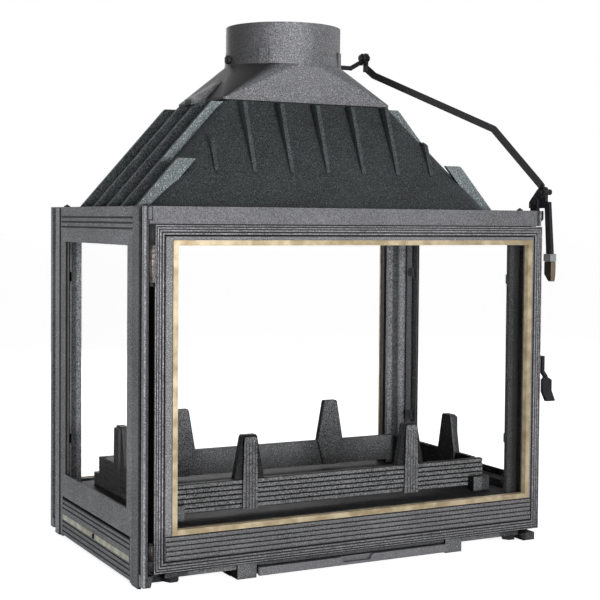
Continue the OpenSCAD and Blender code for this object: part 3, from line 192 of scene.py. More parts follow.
join(cast_grain,
     (grain_given.outputs["Cloud Size"], cloud.inputs["Scale"]),
     (grain_given.outputs["Grain Size"], sand.inputs["Scale"]),
     (grain_given.outputs["Grain Size"], pit_size.inputs[0]),
     (grain_given.outputs["Grain Size"], speck_size.inputs[0]),
     (pit_size.outputs[0], pits.inputs["Scale"]),
     (speck_size.outputs[0], speck.inputs["Scale"]))
print("node group:", cast_grain.name)

# %% [markdown]
# The colour of the grain runs from dark to light with the sand and a little of the cloud.
# Noise stays near its middle value, so only a narrow range of it is stretched over the two
# colours. Without that the iron would be one flat grey. The specks are added on top.

# %% Grain colour
cloud_share, sand_share = 0.16, 0.84
both_patterns = add_node(cast_grain, "ShaderNodeMath", {1: cloud_share}, operation="MULTIPLY_ADD")
sand_part = add_node(cast_grain, "ShaderNodeMath", {1: sand_share}, operation="MULTIPLY")
tone = add_node(cast_grain, "ShaderNodeMapRange", {"From Min": 0.39, "From Max": 0.61})
paint = add_node(cast_grain, "ShaderNodeMix", data_type="RGBA")
brightest = add_node(cast_grain, "ShaderNodeMapRange", {"From Min": 0.60, "From Max": 0.70})
speck_level = add_node(cast_grain, "ShaderNodeMath", operation="MULTIPLY")
specked = add_node(cast_grain, "ShaderNodeMix", data_type="RGBA", blend_type="ADD")
join(cast_grain,
     (sand.outputs["Fac"], sand_part.inputs[0]),
     (cloud.outputs["Fac"], both_patterns.inputs[0]),
     (sand_part.outputs[0], both_patterns.inputs[2]),
     (both_patterns.outputs[0], tone.inputs["Value"]),
     (tone.outputs[0], paint.inputs["Factor"]),
     (grain_given.outputs["Dark"], paint.inputs["A"]),
     (grain_given.outputs["Light"], paint.inputs["B"]),
     (speck.outputs["Fac"], brightest.inputs["Value"]),
     (brightest.outputs[0], speck_level.inputs[0]),
     (grain_given.outputs["Specks"], speck_level.inputs[1]),
     (speck_level.outputs[0], specked.inputs["Factor"]),
     (paint.outputs["Result"], specked.inputs["A"]),
     (grain_given.outputs["Light"], specked.inputs["B"]),
     (specked.outputs["Result"], grain_out.inputs["Color"]))
print("shares of cloud and sand:", cloud_share, sand_share)

# %% [markdown]
# The clouds also change the gloss a little, and sand and pits make the bump. The grains are
# far too small and too many to be modelled, so this is the one relief left to the material.

# %% Grain gloss and bump
cloud_in_gloss, pits_in_height, grain_height = 0.16, 0.5, 0.0006
roughness = add_node(cast_grain, "ShaderNodeMath", {1: cloud_in_gloss}, operation="MULTIPLY_ADD")
height = add_node(cast_grain, "ShaderNodeMath", {1: pits_in_height}, operation="MULTIPLY_ADD")
bump = add_node(cast_grain, "ShaderNodeBump", {"Distance": grain_height})
join(cast_grain,
     (cloud.outputs["Fac"], roughness.inputs[0]),
     (grain_given.outputs["Roughness"], roughness.inputs[2]),
     (roughness.outputs[0], grain_out.inputs["Roughness"]),
     (pits.outputs["Distance"], height.inputs[0]),
     (sand.outputs["Fac"], height.inputs[2]),
     (grain_given.outputs["Grain Depth"], bump.inputs["Strength"]),
     (height.outputs[0], bump.inputs["Height"]),
     (bump.outputs["Normal"], grain_out.inputs["Normal"]))
print("nodes in the grain:", len(cast_grain.nodes))

# %% [markdown]
# Light and shade are painted into the tone from place to place: faces turned to the room get
# painted light, hollows and grooves get painted shade, and the insides of the pillars are
# painted dark as shade. Two more groups make these changes. One scales a colour by any value,
# such as the turn of a face or its distance from the middle. The other paints shade where a
# face lies close to another face.

# %% Tone by value and painted shade in hollows
def scale_colour(group, given, level, out):
    scaled = add_node(group, "ShaderNodeVectorMath", operation="SCALE")
    join(group,
         (given.outputs["Color"], scaled.inputs[0]),
         (level.outputs["Result"], scaled.inputs["Scale"]),
         (scaled.outputs["Vector"], out.inputs["Color"]))


tone_by_value, tone_given, tone_out = new_group(
    "tone_by_value",
    [("Color", colour_socket, (0.2, 0.2, 0.2, 1)), ("Value", number_socket, 0.0),
     ("Start", number_socket, 0.0), ("End", number_socket, 1.0), ("Low", number_socket, 1.0),
     ("High", number_socket, 1.0)],
    [("Color", colour_socket)])
tone_level = add_node(tone_by_value, "ShaderNodeMapRange")
for given_name, level_input in (("Value", "Value"), ("Start", "From Min"), ("End", "From Max"),
                                ("Low", "To Min"), ("High", "To Max")):
    join(tone_by_value, (tone_given.outputs[given_name], tone_level.inputs[level_input]))
scale_colour(tone_by_value, tone_given, tone_level, tone_out)

# Painted shade: ambient occlusion darkens the colour in hollows and grooves, where another face
# lies close
painted_hollow_shade, hollow_given, hollow_out = new_group(
    "painted_hollow_shade",
    [("Color", colour_socket, (0.2, 0.2, 0.2, 1)), ("Reach", number_socket, 0.008),
     ("Low", number_socket, 0.3)],
    [("Color", colour_socket)])
closeness = add_node(painted_hollow_shade, "ShaderNodeAmbientOcclusion", samples=5)
hollow_level = add_node(painted_hollow_shade, "ShaderNodeMapRange", {"From Min": 0.25, "From Max": 0.85})
join(painted_hollow_shade,
     (hollow_given.outputs["Reach"], closeness.inputs["Distance"]),
     (closeness.outputs["AO"], hollow_level.inputs["Value"]),
     (hollow_given.outputs["Low"], hollow_level.inputs["To Min"]))
scale_colour(painted_hollow_shade, hollow_given, hollow_level, hollow_out)
print("node groups:", tone_by_value.name, painted_hollow_shade.name)

# %% [markdown]
# A tone is a change of colour that follows something measurable: the turn of a face, the
# place on the piece in metres, the spread from the middle to both sides, or an attribute that
# the mesh carries. Most tones here are painted light and shade. A painted mask would do the
# same for one piece only. A measure works for all of them, and the spread needs a single
# number for the left and the right side.

# %% What a tone measures
def tone_measure(tree, kind, axis):
    if kind == "attribute":
        return add_node(tree, "ShaderNodeAttribute", attribute_name=axis).outputs["Fac"]
    where = add_node(tree, "ShaderNodeTexCoord")
    along = add_node(tree, "ShaderNodeVectorMath", {1: axis}, operation="DOT_PRODUCT")
    join(tree, (where.outputs["Normal" if kind == "turn" else "Object"], along.inputs[0]))
    if kind != "spread":
        return along.outputs["Value"]
    from_middle = add_node(tree, "ShaderNodeMath", operation="ABSOLUTE")
    join(tree, (along.outputs["Value"], from_middle.inputs[0]))
    return from_middle.outputs[0]


to_room, to_left, upward = (0, -1, 0), (-1, 0, 0), (0, 0, 1)
along_x, along_y = (1, 0, 0), (0, 1, 0)
print("a tone measures turn, place, spread or an attribute")

# %% [markdown]
# An iron is the grain in two colours, then its tones of painted light and shade, then painted
# shade in the hollows. Each tone is one row: its kind, its axis, where the change starts and
# ends, and the factor of the colour at each end. One function mixes them all, so two irons
# differ only in what their rows say.

# %% How an iron is mixed
def iron_material(name, dark, light, grain=640.0, cloud=12.0, depth=0.6, rough=0.5, metal=0.0,
                  specks=0.6, gloss=0.4, hollow=0.35, tones=()):
    material = bpy.data.materials.new(name)
    material.use_nodes = True
    tree = material.node_tree
    shader = tree.nodes["Principled BSDF"]
    amounts = {"Dark": (*dark, 1), "Light": (*light, 1), "Grain Size": grain,
               "Cloud Size": cloud, "Grain Depth": depth, "Roughness": rough, "Specks": specks}
    surface = add_node(tree, "ShaderNodeGroup", amounts, node_tree=cast_grain)
    join(tree,
         (surface.outputs["Roughness"], shader.inputs["Roughness"]),
         (surface.outputs["Normal"], shader.inputs["Normal"]))
    colour = surface.outputs["Color"]
    for kind, axis, start, end, low, high in tones:
        step = add_node(tree, "ShaderNodeGroup",
                        {"Start": start, "End": end, "Low": low, "High": high},
                        node_tree=tone_by_value)
        join(tree,
             (tone_measure(tree, kind, axis), step.inputs["Value"]),
             (colour, step.inputs["Color"]))
        colour = step.outputs["Color"]
    # Painted shade in the hollows; a level of 1 leaves it out
    if hollow < 1:
        deep = add_node(tree, "ShaderNodeGroup", {"Low": hollow}, node_tree=painted_hollow_shade)
        join(tree, (colour, deep.inputs["Color"]))
        colour = deep.outputs["Color"]
    join(tree, (colour, shader.inputs["Base Color"]))
    shader.inputs["Metallic"].default_value = metal
    shader.inputs["Specular IOR Level"].default_value = gloss
    return material


print("an iron is mixed by", iron_material.__name__)

# %% [markdown]
# The castings that face the room are painted grey. Painted light and shade are added to that
# colour: the door gets painted highlights on its ridges and painted shade in its grooves, and the
# cap gets painted shade on its left slope and a painted highlight on its front.

# %% Painted irons of the front
# Painted shade on the upward faces of the top plate, and the colour a little darker towards the
# right end
front_iron = iron_material("painted_front_iron", (0.08, 0.08, 0.084), (0.195, 0.195, 0.206),
                           gloss=0.14, specks=0.4,
                           tones=[("turn", upward, 0.4, 0.8, 1.0, 0.5),
                                  ("place", along_x, -0.2, 0.3, 1.0, 0.85)])
# Painted shade in the grooves and painted highlights on the ridges from the hollow attribute,
# painted light on the left stile, painted shade on the door's left edge in the gap at the pillar
# and along the bottom rail
door_iron = iron_material("moulded_door_iron", (0.06, 0.06, 0.063), (0.24, 0.24, 0.25),
                          gloss=0.16, hollow=0.5,
                          tones=[("attribute", "hollow", -0.4, 1.0, 1.45, 0.08),
                                 ("place", along_x, -0.33, -0.25, 1.20, 1.0),
                                 ("place", along_x, -0.3418, -0.3412, 0.12, 1.0),
                                 ("place", upward, 0.075, 0.095, 0.74, 1.0)])
# Painted shade on the left and rear slope and on faces turned left, and a painted highlight on
# faces turned to the front and a little left
cap_iron = iron_material("painted_cap_iron", (0.05, 0.05, 0.053), (0.215, 0.216, 0.228),
                         gloss=0.22, rough=0.42,
                         tones=[("turn", (-0.45, 0.25, 0.86), 0.50, 0.70, 1.0, 0.08),
                                ("turn", to_left, 0.55, 0.95, 1.0, 0.35),
                                ("turn", (-0.35, -0.94, 0), 0.90, 1.0, 0.88, 1.35)])
print("irons of the front:", front_iron.name, door_iron.name, cap_iron.name)

# %% [markdown]
# The side frames and pillars get painted shade on their upper faces and inside, and narrow
# bands of painted shade draw the grooves and steps that run up them. The lines could be
# modelled too, but the castings are CAD nodes, and their meshes stay as they are.

# %% Painted irons of the sides
# Painted shade on upward faces, on faces turned to the room in the gaps at the pillars, at the
# pilasters' steps and in the grooves; painted light on the rear pilaster
side_iron = iron_material("painted_side_iron", (0.035, 0.036, 0.038), (0.33, 0.334, 0.348),
                          gloss=0.14,
                          tones=[("turn", upward, 0.3, 0.8, 1.0, 0.25),
                                 ("turn", to_room, 0.4, 0.65, 1.0, 0.22),
                                 ("place", along_y, -0.1790, -0.1785, 0.74, 1.0),
                                 ("place", along_y, 0.1785, 0.1790, 1.0, 1.35),
                                 ("spread", along_y, 0.1760, 0.1765, 1.0, 0.25),
                                 ("spread", along_y, 0.1782, 0.1788, 1.0, 4.0),
                                 ("spread", along_x, 0.3552, 0.3558, 0.25, 1.0),
                                 ("spread", along_x, 0.3525, 0.3535, 3.4, 1.0)])
# Painted shade on upward faces and on everything inside the outer side faces, darkest between 323
# and 336 mm from the middle; the outer faces are painted lighter
pillar_iron = iron_material("pillar_iron", (0.06, 0.061, 0.064), (0.27, 0.274, 0.286),
                            gloss=0.14,
                            tones=[("turn", upward, 0.3, 0.8, 1.0, 0.35),
                                   ("spread", along_x, 0.3200, 0.3230, 1.0, 0.45),
                                   ("spread", along_x, 0.3340, 0.3360, 1.0, 3.00),
                                   ("spread", along_x, 0.3540, 0.3565, 0.20, 1.05)])
# Painted shade on upward faces and in a band inside the pillar, 323 to 331 mm from the middle
rear_pillar_iron = iron_material("rear_pillar_iron", (0.05, 0.051, 0.054), (0.40, 0.404, 0.42),
                                 gloss=0.14,
                                 tones=[("turn", upward, 0.3, 0.8, 1.0, 0.35),
                                        ("spread", along_x, 0.3200, 0.3230, 1.0, 0.35),
                                        ("spread", along_x, 0.3310, 0.3325, 1.0, 2.80)])
# Much darker above 64 mm, and painted shade in the recessed grooves and on the inside
skirt_iron = iron_material("painted_skirt_iron", (0.07, 0.071, 0.074), (0.29, 0.294, 0.306),
                           gloss=0.14,
                           tones=[("place", upward, 0.0632, 0.0640, 1.0, 0.12),
                                  ("spread", along_x, 0.3552, 0.3558, 0.25, 1.0)])
print("irons of the sides:", side_iron.name, pillar_iron.name, skirt_iron.name)

# %% [markdown]
# The irons near the fire are bare and sooty. The hood is nearly black with a rough grain, and
# painted light makes only the faces that look straight at the room lighter. On the hearth and
# the fence painted light and shade make the faces turned to the room light and the others dark,
# and painted shade makes the front fence's flutes black between its ridges.

# %% Irons near the fire
# Painted light on the faces that look straight at the room, and painted shade in the hollows
hood_iron = iron_material("sooty_hood_iron_painted_light", (0.010, 0.011, 0.011), (0.056, 0.064, 0.066),
                          depth=0.9, specks=0.9, gloss=0.12, hollow=0.3,
                          tones=[("turn", to_room, 0.93, 0.985, 1.0, 4.3)])
# Painted shade on faces turned away from the room, on upward faces, near the side walls and on
# faces turned left, and strong painted shade in the hollows
hearth_iron = iron_material("hearth_iron", (0.022, 0.022, 0.023), (0.165, 0.167, 0.172),
                            gloss=0.08, hollow=0.05,
                            tones=[("turn", to_room, 0.0, 0.9, 0.26, 1.1),
                                   ("turn", upward, 0.5, 0.9, 1.0, 0.55),
                                   ("spread", along_x, 0.2830, 0.2870, 1.0, 0.40),
                                   ("turn", to_left, 0.3, 0.8, 1.0, 0.22)])
# Painted shade on faces turned away from the room, painted light on upward faces, painted shade
# in the flutes between the ridges, and strong painted shade in the hollows
fence_iron = iron_material("front_fence_iron", (0.022, 0.022, 0.023), (0.185, 0.187, 0.192),
                           gloss=0.08, hollow=0.05,
                           tones=[("turn", to_room, 0.0, 0.9, 0.26, 1.2),
                                  ("turn", upward, 0.5, 0.9, 1.0, 1.9),
                                  ("place", along_y, -0.1508, -0.1496, 1.0, 0.12),
                                  ("place", along_y, -0.1475, -0.1470, 1.0, 6.0)])
print("irons near the fire:", hood_iron.name, hearth_iron.name, fence_iron.name)

# %% [markdown]
# The small parts are steel and bronze: blackened for the levers and bolts, plated for pins,
# dull for the clips and worn reddish at the hinges. The hinges also get painted light on faces
# turned to the front right and the lower knuckle is much darker, and the bronze tip gets
# painted shade on its left faces. They use the grain of the castings with less depth, because
# turned metal has little sand in its surface. The fibre seals are matt and coarse, and the two
# kinds of strip are nearly smooth, with slow clouds of tone. The brass also gets a painted
# highlight on its returns and painted shade at its edges.

# %% Steel, bronze, fibre and brass
black_steel = iron_material("blackened_steel", (0.006, 0.006, 0.007), (0.022, 0.022, 0.024),
                            grain=900.0, depth=0.2, rough=0.36, specks=0.2, gloss=0.14,
                            hollow=1.0)
plain_steel = iron_material("plated_steel", (0.12, 0.12, 0.12), (0.30, 0.30, 0.30),
                            grain=1200.0, depth=0.15, rough=0.42, metal=0.7, specks=0.3)
dull_steel = iron_material("dull_clip_steel", (0.02, 0.02, 0.021), (0.09, 0.09, 0.094),
                           grain=900.0, depth=0.2, rough=0.45, specks=0.2, gloss=0.2)
# Worn reddish steel, with painted light on faces turned to the front right, and much darker below
# 0.2 m
hinge_steel = iron_material("worn_hinge_steel_painted_light", (0.06, 0.048, 0.048), (0.26, 0.22, 0.22),
                            grain=260.0, depth=0.3, rough=0.4, metal=0.4, specks=0.3,
                            tones=[("turn", (0.6, -0.8, 0), 0.5, 0.95, 0.25, 1.3),
                                   ("place", upward, 0.20, 0.30, 0.12, 1.0)])
# Painted shade on the tip's faces turned left
bronze_tip = iron_material("bronzed_tip", (0.07, 0.055, 0.042), (0.20, 0.16, 0.12),
                           grain=900.0, depth=0.2, rough=0.35, metal=0.6, specks=0.3,
                           tones=[("turn", to_left, 0.5, 0.9, 1.0, 0.2)])
fibre_seal = iron_material("fibre_seal", (0.10, 0.095, 0.085), (0.26, 0.25, 0.23),
                           grain=900.0, depth=1.0, rough=0.75, specks=0.2, gloss=0.1)
# Painted highlight on the returns that don't face the room, and painted shade at the edges
brass_strip = iron_material("satin_brass", (0.27, 0.215, 0.13), (0.43, 0.36, 0.245),
                            grain=45.0, cloud=9.0, depth=0.05, rough=0.45, metal=0.6,
                            specks=0.0, gloss=0.3, hollow=0.6,
                            tones=[("turn", to_room, 0.80, 0.95, 1.7, 0.95)])
cream_strip = iron_material("pale_polished_strip", (0.42, 0.41, 0.34), (0.68, 0.67, 0.58),
                            grain=60.0, cloud=9.0, depth=0.05, rough=0.4, metal=0.3,
                            specks=0.0, gloss=0.4, hollow=1.0)
print("strips and seals:", fibre_seal.name, brass_strip.name, cream_strip.name)

# %% [markdown]
# The panes are clear ceramic glass. A plain glass shader would keep the lamps' light out of
# the chamber, because the renderer doesn't follow lamps through glass, so the pane is seen as
# glass but lets shadow rays pass. Light that the iron scatters passes it too, which keeps the
# bright surround, meant only for the eye, from lighting the chamber through the panes. The
# glass bends and mirrors less than real glass, because the photograph shows none of it.

# %% Glass
glass_ior = 1.04
clear_glass = bpy.data.materials.new("clear_ceramic_glass")
clear_glass.use_nodes = True
glass_tree = clear_glass.node_tree
glass_shader = glass_tree.nodes["Principled BSDF"]
glass_shader.inputs["Base Color"].default_value = white
glass_shader.inputs["Roughness"].default_value = 0.0
glass_shader.inputs["IOR"].default_value = glass_ior
glass_shader.inputs["Transmission Weight"].default_value = 1.0
let_through = add_node(glass_tree, "ShaderNodeBsdfTransparent")
glass_ray = add_node(glass_tree, "ShaderNodeLightPath")
either = add_node(glass_tree, "ShaderNodeMixShader")
passes = add_node(glass_tree, "ShaderNodeMath", operation="MAXIMUM")
join(glass_tree,
     (glass_ray.outputs["Is Shadow Ray"], passes.inputs[0]),
     (glass_ray.outputs["Is Diffuse Ray"], passes.inputs[1]),
     (passes.outputs[0], either.inputs["Fac"]),
     (glass_shader.outputs[0], either.inputs[1]),
     (let_through.outputs[0], either.inputs[2]),
     (either.outputs[0], glass_tree.nodes["Material Output"].inputs["Surface"]))
print("glass, index of refraction:", glass_ior)

# %% [markdown]
# The CAD pieces whose shape is right keep it and only get a finish. Each material lists its
# nodes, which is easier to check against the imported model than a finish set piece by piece.

# %% Which finish each CAD node has
finish_of = {
    front_iron: ["top_plate", "ash_pan"],
    door_iron: ["front_door_frame", "rear_frame"],
    cap_iron: ["flue_cap"],
    side_iron: ["side_frame_left", "side_frame_right"],
    skirt_iron: ["skirt_left", "skirt_right"],
    pillar_iron: ["pillar_front_left", "pillar_front_right"],
    rear_pillar_iron: ["pillar_rear_left", "pillar_rear_right"],
    hood_iron: ["hood", "smoke_baffle", "damper_plate"],
    fence_iron: ["fence_front"],
    hearth_iron: ["hearth_base", "fire_grate", "fence_rear", "fence_left", "fence_right"],
    black_steel: ["damper_spindle", "link_arm", "damper_lever", "link_knob_bolt", "crank_bolt",
                  "lever_bracket", "bracket_bolts", "skirt_studs", "levelling_bolts",
                  "tie_rod_nuts", "rear_frame_bolts", "lever_pivot_pin", "latch_handle",
                  "spindle_nut", "hinge_pins"],
    plain_steel: ["cap_bolts", "latch_pin", "latch_keeper", "plate_screws", "lever_clip"],
    dull_steel: ["side_glass_clips", "front_glass_clips", "rear_glass_clips", "tie_rods"],
    bronze_tip: ["lever_tip"],
    cream_strip: ["skirt_brass"],
    brass_strip: ["front_trim_left", "front_trim_right", "rear_trim_left", "rear_trim_right"],
    fibre_seal: ["front_glass_tape", "rear_glass_tape", "front_door_rope", "rear_rope"],
    clear_glass: ["side_glass_left", "side_glass_right", "front_door_glass", "rear_glass"],
}
for material, node_names in finish_of.items():
    for node_name in node_names:
        for slot in nodes[node_name].material_slots:
            slot.material = material
print("nodes with a finish:", sum(map(len, finish_of.values())), "of", len(nodes))

# %% [markdown]
# The castings have small rounded edges, because sand moulds can't hold a sharp one, and these
# edges catch the light. A Bevel modifier on the CAD nodes gives them without changing a
# vertex of the frame. Their meshes are loose triangles, so a Weld modifier comes first.

# %% Rounded casting edges
edge_width, weld_reach = 0.0007, 0.000002
sharp_edge_deg = 40
rounded = ["side_frame_left", "side_frame_right", "pillar_front_left", "pillar_front_right",
           "pillar_rear_left", "pillar_rear_right", "top_plate", "fence_front", "fence_rear",
           "fence_left", "fence_right", "skirt_left", "skirt_right", "lever_bracket",
           "damper_lever", "link_arm", "lever_tip", "lever_clip", "ash_pan"]
for node_name in rounded:
    weld = nodes[node_name].modifiers.new("join_triangles", "WELD")
    weld.merge_threshold = weld_reach
    bevel = nodes[node_name].modifiers.new("cast_edge", "BEVEL")
    bevel.width = edge_width
    bevel.segments = 2
    bevel.limit_method = "ANGLE"
    bevel.angle_limit = math.radians(sharp_edge_deg)
    bevel.harden_normals = True
print("pieces with rounded edges:", len(rounded))

# %% [markdown]
# The pieces below are built in mesh code, in millimetres, from closed rows of points. Three
# helpers serve them all: one sets a row of points, one builds the wall between two rows, and
# one makes the finished mesh, with its faces outwards. The rear frame is the door's pattern
# turned half round, so the last helper can turn a piece to the rear.

# %% Helpers for meshes
mm = 0.001
smooth_under_deg = 50


def set_row(bm, points):
    return [bm.verts.new((x * mm, y * mm, z * mm)) for x, y, z in points]


def build_wall(bm, near, far):
    for k in range(len(near)):
        j = (k + 1) % len(near)
        bm.faces.new((near[k], near[j], far[j], far[k]))


def finished_mesh(name, bm, to_rear=False):
    bmesh.ops.recalc_face_normals(bm, faces=bm.faces)
    if to_rear:
        half_turn = Matrix.Rotation(math.pi, 3, "Z")
        bmesh.ops.rotate(bm, verts=bm.verts, cent=(0, 0, 0), matrix=half_turn)
    mesh = bpy.data.meshes.new(name)
    bm.to_mesh(mesh)
    bm.free()
    for face in mesh.polygons:
        face.use_smooth = True
    mesh.set_sharp_from_angle(angle=math.radians(smooth_under_deg))
    piece = bpy.data.objects.new(name, mesh)
    bpy.context.collection.objects.link(piece)
    return piece


print("edges stay sharp above", smooth_under_deg, "degrees")

# %% [markdown]
# The door is one casting round a rectangular sight opening. Its face is a picture-frame
# moulding: four ridges, a deep shadow line and a flat band that carries the brass. All its
# edges run round the same rectangle, so it is lofted from rings. Each ring has its own inset
# on each side and its own depth, and the last ring joins the first along the outer edge.

# %% Rings of the moulded frame
# Left, right, lower and upper edge of the two frames
door_bay = (-342.0, 360.0, 25.0, 540.0)
rear_bay = (-342.0, 342.0, 25.0, 540.0)
face_y, pane_front_y, back_y = -229.0, -215.0, -203.0
# Distance in from the edge, and depth below the highest ridge
moulding = [(0.0, 2.6), (0.4, 1.0), (1.3, 0.1), (2.2, 0.3), (2.8, 1.6), (3.3, 2.0), (3.8, 1.4),
            (4.3, 0.4), (5.0, 0.1), (5.8, 0.4), (6.4, 1.5), (6.9, 1.9), (7.4, 1.4), (8.0, 0.4),
            (8.8, 0.1), (9.8, 0.5), (10.6, 1.7), (11.3, 2.1), (12.0, 1.5), (12.6, 0.4),
            (13.4, 0.0), (14.4, 0.5), (15.2, 2.4), (16.0, 3.2), (16.8, 2.3), (17.6, 1.2),
            (18.8, 0.9)]
band_depth, sight_chamfer, sight_depth = 0.9, 0.4, 1.4
# Insets on the left, right, lower and upper side, seen from the front
pane_rebate = (15, 15, 38, 15)
channel_inner, channel_outer, channel_depth = (10, 12.5, 13, 10), (5, 7.5, 8, 5), 3.7
back_round = 0.8


def frame_rings(sight):
    rings = [((inset,) * 4, face_y + deep) for inset, deep in moulding]
    rings += [(tuple(inset - sight_chamfer for inset in sight), face_y + band_depth),
              (sight, face_y + sight_depth), (sight, pane_front_y),
              (pane_rebate, pane_front_y), (pane_rebate, back_y),
              (channel_inner, back_y), (channel_inner, back_y - channel_depth),
              (channel_outer, back_y - channel_depth), (channel_outer, back_y),
              ((back_round,) * 4, back_y), ((0,) * 4, back_y - back_round)]
    return rings


print("rings in the moulding:", len(moulding))

# %% [markdown]
# Each point of a ring also carries a number, its hollowness: 1 in a groove, 0 on the band and
# below 0 on a ridge. The door's iron reads it as an attribute and paints shade exactly into
# the grooves and a highlight onto the ridges. Shadow alone would leave lines that are a
# millimetre wide too pale.

# %% Loft the two frames
inside_hollowness, ridge_hollowness = 0.3, -0.4
moulding_depth, ridge_depth = 5.0, 0.5


def hollowness(deep):
    if deep > moulding_depth:
        return inside_hollowness
    if deep < ridge_depth:
        return ridge_hollowness * (1.0 - deep / ridge_depth)
    return min(max((deep - band_depth) / band_depth, 0.0), 1.0)


def lofted_frame(name, bay, rings, to_rear=False):
    left, right, low, top = bay
    bm = bmesh.new()
    hollow = bm.verts.layers.float.new("hollow")
    loops = []
    for (in_left, in_right, in_low, in_top), y in rings:
        x0, x1, z0, z1 = left + in_left, right - in_right, low + in_low, top - in_top
        loops.append(set_row(bm, [(x0, y, z0), (x1, y, z0), (x1, y, z1), (x0, y, z1)]))
        for vert in loops[-1]:
            vert[hollow] = hollowness(y - face_y)
    for here, after in zip(loops, loops[1:] + loops[:1]):
        build_wall(bm, here, after)
    return finished_mesh(name, bm, to_rear)


door_sight, rear_sight = (35.5, 29.0, 62.0, 30.0), (27.5, 27.5, 62.0, 30.0)
door_casting = lofted_frame("door_casting", door_bay, frame_rings(door_sight))
rear_casting = lofted_frame("rear_casting", rear_bay, frame_rings(rear_sight), to_rear=True)
print("faces of the door:", len(door_casting.data.polygons))

# %% [markdown]
# Below the glass the frame is deeper, and its flat band carries five long flutes. They are
# one wavy line swept along the rail. The grooves reach down to the band, and the ridges stand
# a little in front of the moulding, as on the casting.

# %% Fluted lower rail
rail_low, rail_high, flute_count = 43.5, 79.5, 5
rail_end_depth, rail_top_depth, rail_back_depth = 0.8, 0.4, 4
# Share of a flute's height, and depth below the moulding's highest ridge
flute_wave = ((0.08, -0.3), (0.25, -0.6), (0.58, -0.6), (0.72, -0.3), (0.80, 0.8), (0.92, 0.8))
# Hollowness, which paints shade into the flute grooves, starts at the first depth and is full
# after the second
groove_from, groove_span = -0.2, 0.8


def fluted_rail(name, x_left, x_right, to_rear=False):
    pitch = (rail_high - rail_low) / flute_count
    outline = [(rail_low, rail_end_depth)]
    for number in range(flute_count):
        z = rail_low + number * pitch
        outline += [(z + share * pitch, deep) for share, deep in flute_wave]
    outline.append((rail_high, rail_top_depth))
    bm = bmesh.new()
    hollow = bm.verts.layers.float.new("hollow")
    ends = []
    for x in (x_left, x_right):
        front = set_row(bm, [(x, face_y + deep, z) for z, deep in outline])
        for vert, (z, deep) in zip(front, outline):
            vert[hollow] = min(max((deep - groove_from) / groove_span, 0.0), 1.0)
        back = set_row(bm, [(x, face_y + rail_back_depth, z) for z in (rail_high, rail_low)])
        ends.append(front + back)
    build_wall(bm, *ends)
    for end in ends:
        bm.faces.new(end)
    return finished_mesh(name, bm, to_rear)


door_flutes = fluted_rail("door_lower_flutes", -323.5, 341.5)
rear_flutes = fluted_rail("rear_lower_flutes", -323.5, 323.5, to_rear=True)
print("flutes:", flute_count, "from", rail_low, "to", rail_high, "mm")

# %% [markdown]
# The door hangs on two knuckles, and each of them meets a sleeve on the pillar's lug. All
# four are turned round the pin's line, with a small chamfer at both ends and a web towards
# the door's edge. A plain tube would do from far off, but the chamfers are what tells a
# knuckle from its sleeve.

# %% Hinge knuckles
hinge_x, hinge_y, door_edge_x = -346.0, -226.0, -341.0
bore_radius, knuckle_chamfer, web_step, round_points = 2.55, 0.6, 0.3, 32
# Corners of the web towards the door's edge
web_corners = [(hinge_x + 3.2, hinge_y - 2.6), (door_edge_x, hinge_y - 2.0),
               (door_edge_x, hinge_y + 4.3), (hinge_x + 1.4, hinge_y + 4.3)]


def knuckles(name, spans, radius):
    bm = bmesh.new()
    for low, top in spans:
        profile = [(bore_radius, low), (radius - knuckle_chamfer, low),
                   (radius, low + knuckle_chamfer), (radius, top - knuckle_chamfer),
                   (radius - knuckle_chamfer, top), (bore_radius, top)]
        angles = [2 * math.pi * k / round_points for k in range(round_points)]
        loops = []
        for reach, z in profile:
            loops.append(set_row(bm, [(hinge_x + reach * math.cos(angle),
                                       hinge_y + reach * math.sin(angle), z)
                                      for angle in angles]))
        for here, after in zip(loops, loops[1:] + loops[:1]):
            build_wall(bm, here, after)
        lower = set_row(bm, [(x, y, low + web_step) for x, y in web_corners])
        upper = set_row(bm, [(x, y, top - web_step) for x, y in web_corners])
        bm.faces.new(lower)
        bm.faces.new(upper)
        build_wall(bm, lower, upper)
    return finished_mesh(name, bm)


# Lower and upper end of each knuckle, and its radius
door_knuckles = knuckles("door_knuckles", [(454.7, 509.7), (45.3, 69.0)], 4.5)
lug_sleeves = knuckles("hinge_lug_sleeves", [(510.1, 539.9), (31.1, 44.9)], 4.7)
print("lowest knuckle at", round(min(v.co.z for v in door_knuckles.data.vertices), 4), "m")

# %% [markdown]
# At the left end of the lintel a small cast ear laps over the pillar, and a black tab behind
# it, a little larger, is painted shade round it. Both are flat tabs with rounded corners, drawn
# as an outline of arcs and given a thickness. A long thin black tab of the same kind is painted
# shade in the gap between the door and the lintel. Without it the bright background would show
# through the gap that the door needs.

# %% Lintel ear and painted shade tabs
arc_steps = 6


def rounded_tab(name, left, right, low, top, y_front, y_back, corner=1.8):
    centres = [(right - corner, top - corner, 0), (left + corner, top - corner, 90),
               (left + corner, low + corner, 180), (right - corner, low + corner, 270)]
    outline = []
    for centre_x, centre_z, from_deg in centres:
        for k in range(arc_steps + 1):
            angle = math.radians(from_deg + 90 * k / arc_steps)
            outline.append((centre_x + corner * math.cos(angle),
                            centre_z + corner * math.sin(angle)))
    bm = bmesh.new()
    front = set_row(bm, [(x, y_front, z) for x, z in outline])
    back = set_row(bm, [(x, y_back, z) for x, z in outline])
    bm.faces.new(front)
    bm.faces.new(back)
    build_wall(bm, front, back)
    return finished_mesh(name, bm)


